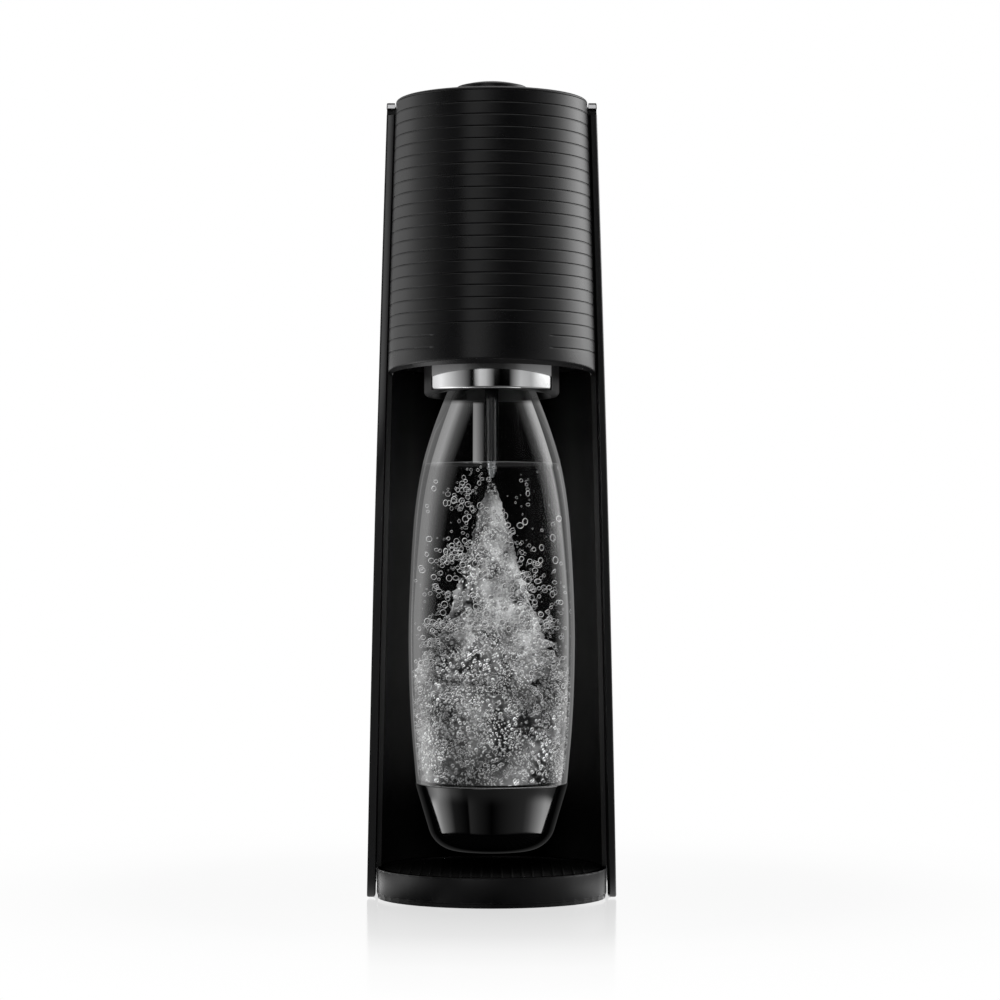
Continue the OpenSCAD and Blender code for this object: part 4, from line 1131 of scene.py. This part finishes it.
# Brightness by azimuth, in degrees: of the surroundings high up and low down, and of the floor away from the
# object and close around it
STUDIO = [(-180, 0.9), (-150, 0.3), (-110, 1.2), (-80, 0.5), (-60, 0.1), (-30, 0.0), (-28, 0.7), (-15, 0.7),
          (0, 0.2), (15, 0.0), (50, 0.1), (75, 0.8), (105, 4.0), (120, 4.0), (150, 0.2), (180, 0.9)]
LOW_BAND = [(-180, 1.0), (-120, 0.7), (-95, 1.0), (-60, 0.4), (-35, 0.0), (-30, 0.0), (-20, 0.6), (-10, 0.5),
            (5, 0.0), (30, 0.0), (50, 0.6), (70, 0.4), (100, 1.0), (180, 1.0)]
FLOOR_GLOW = [(-180, 0.2), (-130, 0.1), (-110, 0.5), (-85, 2.0), (-60, 0.5), (-40, 0.1), (0, 0.1), (60, 0.2),
              (85, 0.3), (110, 0.1), (180, 0.2)]
CUP_GLOW = [(-180, 0.5), (-110, 4.0), (-85, 1.5), (-60, 0.1), (-35, 0.0), (-33, 0.2), (-20, 0.1), (0, 0.0),
            (50, 0.2), (60, 0.5), (90, 2.5), (180, 0.5)]


def stage_floor():
    """A white sweep with a faint reflection near the object."""
    mesh = bpy.data.meshes.new("floor")
    mesh.from_pydata([(-6, -4, 0), (6, -4, 0), (6, 60, 0), (-6, 60, 0)], [], [(0, 1, 2, 3)])
    floor = bpy.data.objects.new("floor", mesh)
    scene.collection.objects.link(floor)
    mat = bpy.data.materials.new("pale_floor")
    mat.use_nodes = True
    nt = mat.node_tree
    nt.nodes.clear()
    out = nt.nodes.new("ShaderNodeOutputMaterial")
    x, y = position(nt)[:2]
    far = math_node(nt, "SQRT", math_node(nt, "ADD", times(nt, x, x), times(nt, y, y)))
    fade = along(nt, far, [(90, 0.3), (180, 0.2), (230, 0.1), (280, 0.04), (370, 0.0)], 2.0)
    light = node(nt, "Emission", Color=(1, 1, 1, 1), Strength=1.0)
    gloss = node(nt, "BsdfGlossy", Roughness=0.12, Color=(1, 1, 1, 1))
    seen = node(nt, "MixShader")
    nt.links.new(fade, seen.inputs["Fac"])
    nt.links.new(light.outputs[0], seen.inputs[1])
    nt.links.new(gloss.outputs[0], seen.inputs[2])
    spread = node(nt, "Emission", Strength=1.0)
    turn_y = math_node(nt, "ADD", y, -AXIS_Y * MM)
    beyond = along(nt, far, [(150, 0.0), (168, 1.0)], 1.0)
    nt.links.new(blend(nt, "MIX", around(nt, x, turn_y, CUP_GLOW), around(nt, x, turn_y, FLOOR_GLOW), beyond),
                 spread.inputs["Color"])
    by_camera(nt, seen, spread, out)
    mesh.materials.append(mat)


def front_lamp():
    """A soft lamp that shows in no reflection."""
    lamp = bpy.data.lights.new("front_soft", "AREA")
    lamp.shape, lamp.size, lamp.energy = "SQUARE", 0.3, 1.3
    key = bpy.data.objects.new("front_soft", lamp)
    key.location = (0.05, -0.8, 0.45)
    key.rotation_euler = (math.radians(68), 0, math.radians(4))
    key.visible_glossy = False
    key.visible_transmission = False
    scene.collection.objects.link(key)


def backdrop():
    """White to the camera; to other rays, soft boxes by azimuth, dimmer upwards, under a bright top."""
    world = bpy.data.worlds.new("studio")
    scene.world = world
    world.use_nodes = True
    nt = world.node_tree
    nt.nodes.clear()
    out = nt.nodes.new("ShaderNodeOutputWorld")
    seen = node(nt, "Background", Color=(1, 1, 1, 1), Strength=1.0)
    sep = node(nt, "SeparateXYZ")
    nt.links.new(node(nt, "TexCoord").outputs["Generated"], sep.inputs[0])
    x, y, z = sep.outputs["X"], sep.outputs["Y"], sep.outputs["Z"]
    above = ramp(nt, times(nt, z, 5.0), [(0.375, 0.0), (0.42, 1.0)])
    sides = blend(nt, "MIX", around(nt, x, y, LOW_BAND), around(nt, x, y, STUDIO), above)
    dim = ramp(nt, z, [(0.22, 1.0), (0.5, 0.55), (0.8, 0.3)])
    top = ramp(nt, z, [(0.76, 0.0), (0.88, 0.8)])
    fill = node(nt, "Background", Strength=1.0)
    nt.links.new(blend(nt, "ADD", blend(nt, "MULTIPLY", sides, dim), top), fill.inputs["Color"])
    by_camera(nt, seen, fill, out)


def camera():
    cam = bpy.data.cameras.new("camera")
    cam.lens, cam.sensor_width = 95.6, 36
    cam.clip_start, cam.clip_end = 0.05, 200
    eye = bpy.data.objects.new("camera", cam)
    eye.location = (0.0043, -1.4094, 0.16895)
    eye.rotation_euler = (math.radians(90 + 1.494), 0, 0)
    scene.collection.objects.link(eye)
    scene.camera = eye
    scene.view_settings.view_transform = "Standard"
    scene.cycles.transparent_max_bounces = 32
    scene.cycles.max_bounces = 16
    scene.cycles.transmission_bounces = 14


dress_nodes()
side_panels()
rear_cover()
rear_deck()
plinth()
drip_mat()
bay_wall()
grooved_head()
head_lid()
press_button()
button_sleeve()
collar()
chrome_band()
nozzle()
bottle_wall()
bottle_cup()
water()
foam()
all_bubbles()
stage_floor()
front_lamp()
backdrop()
camera()
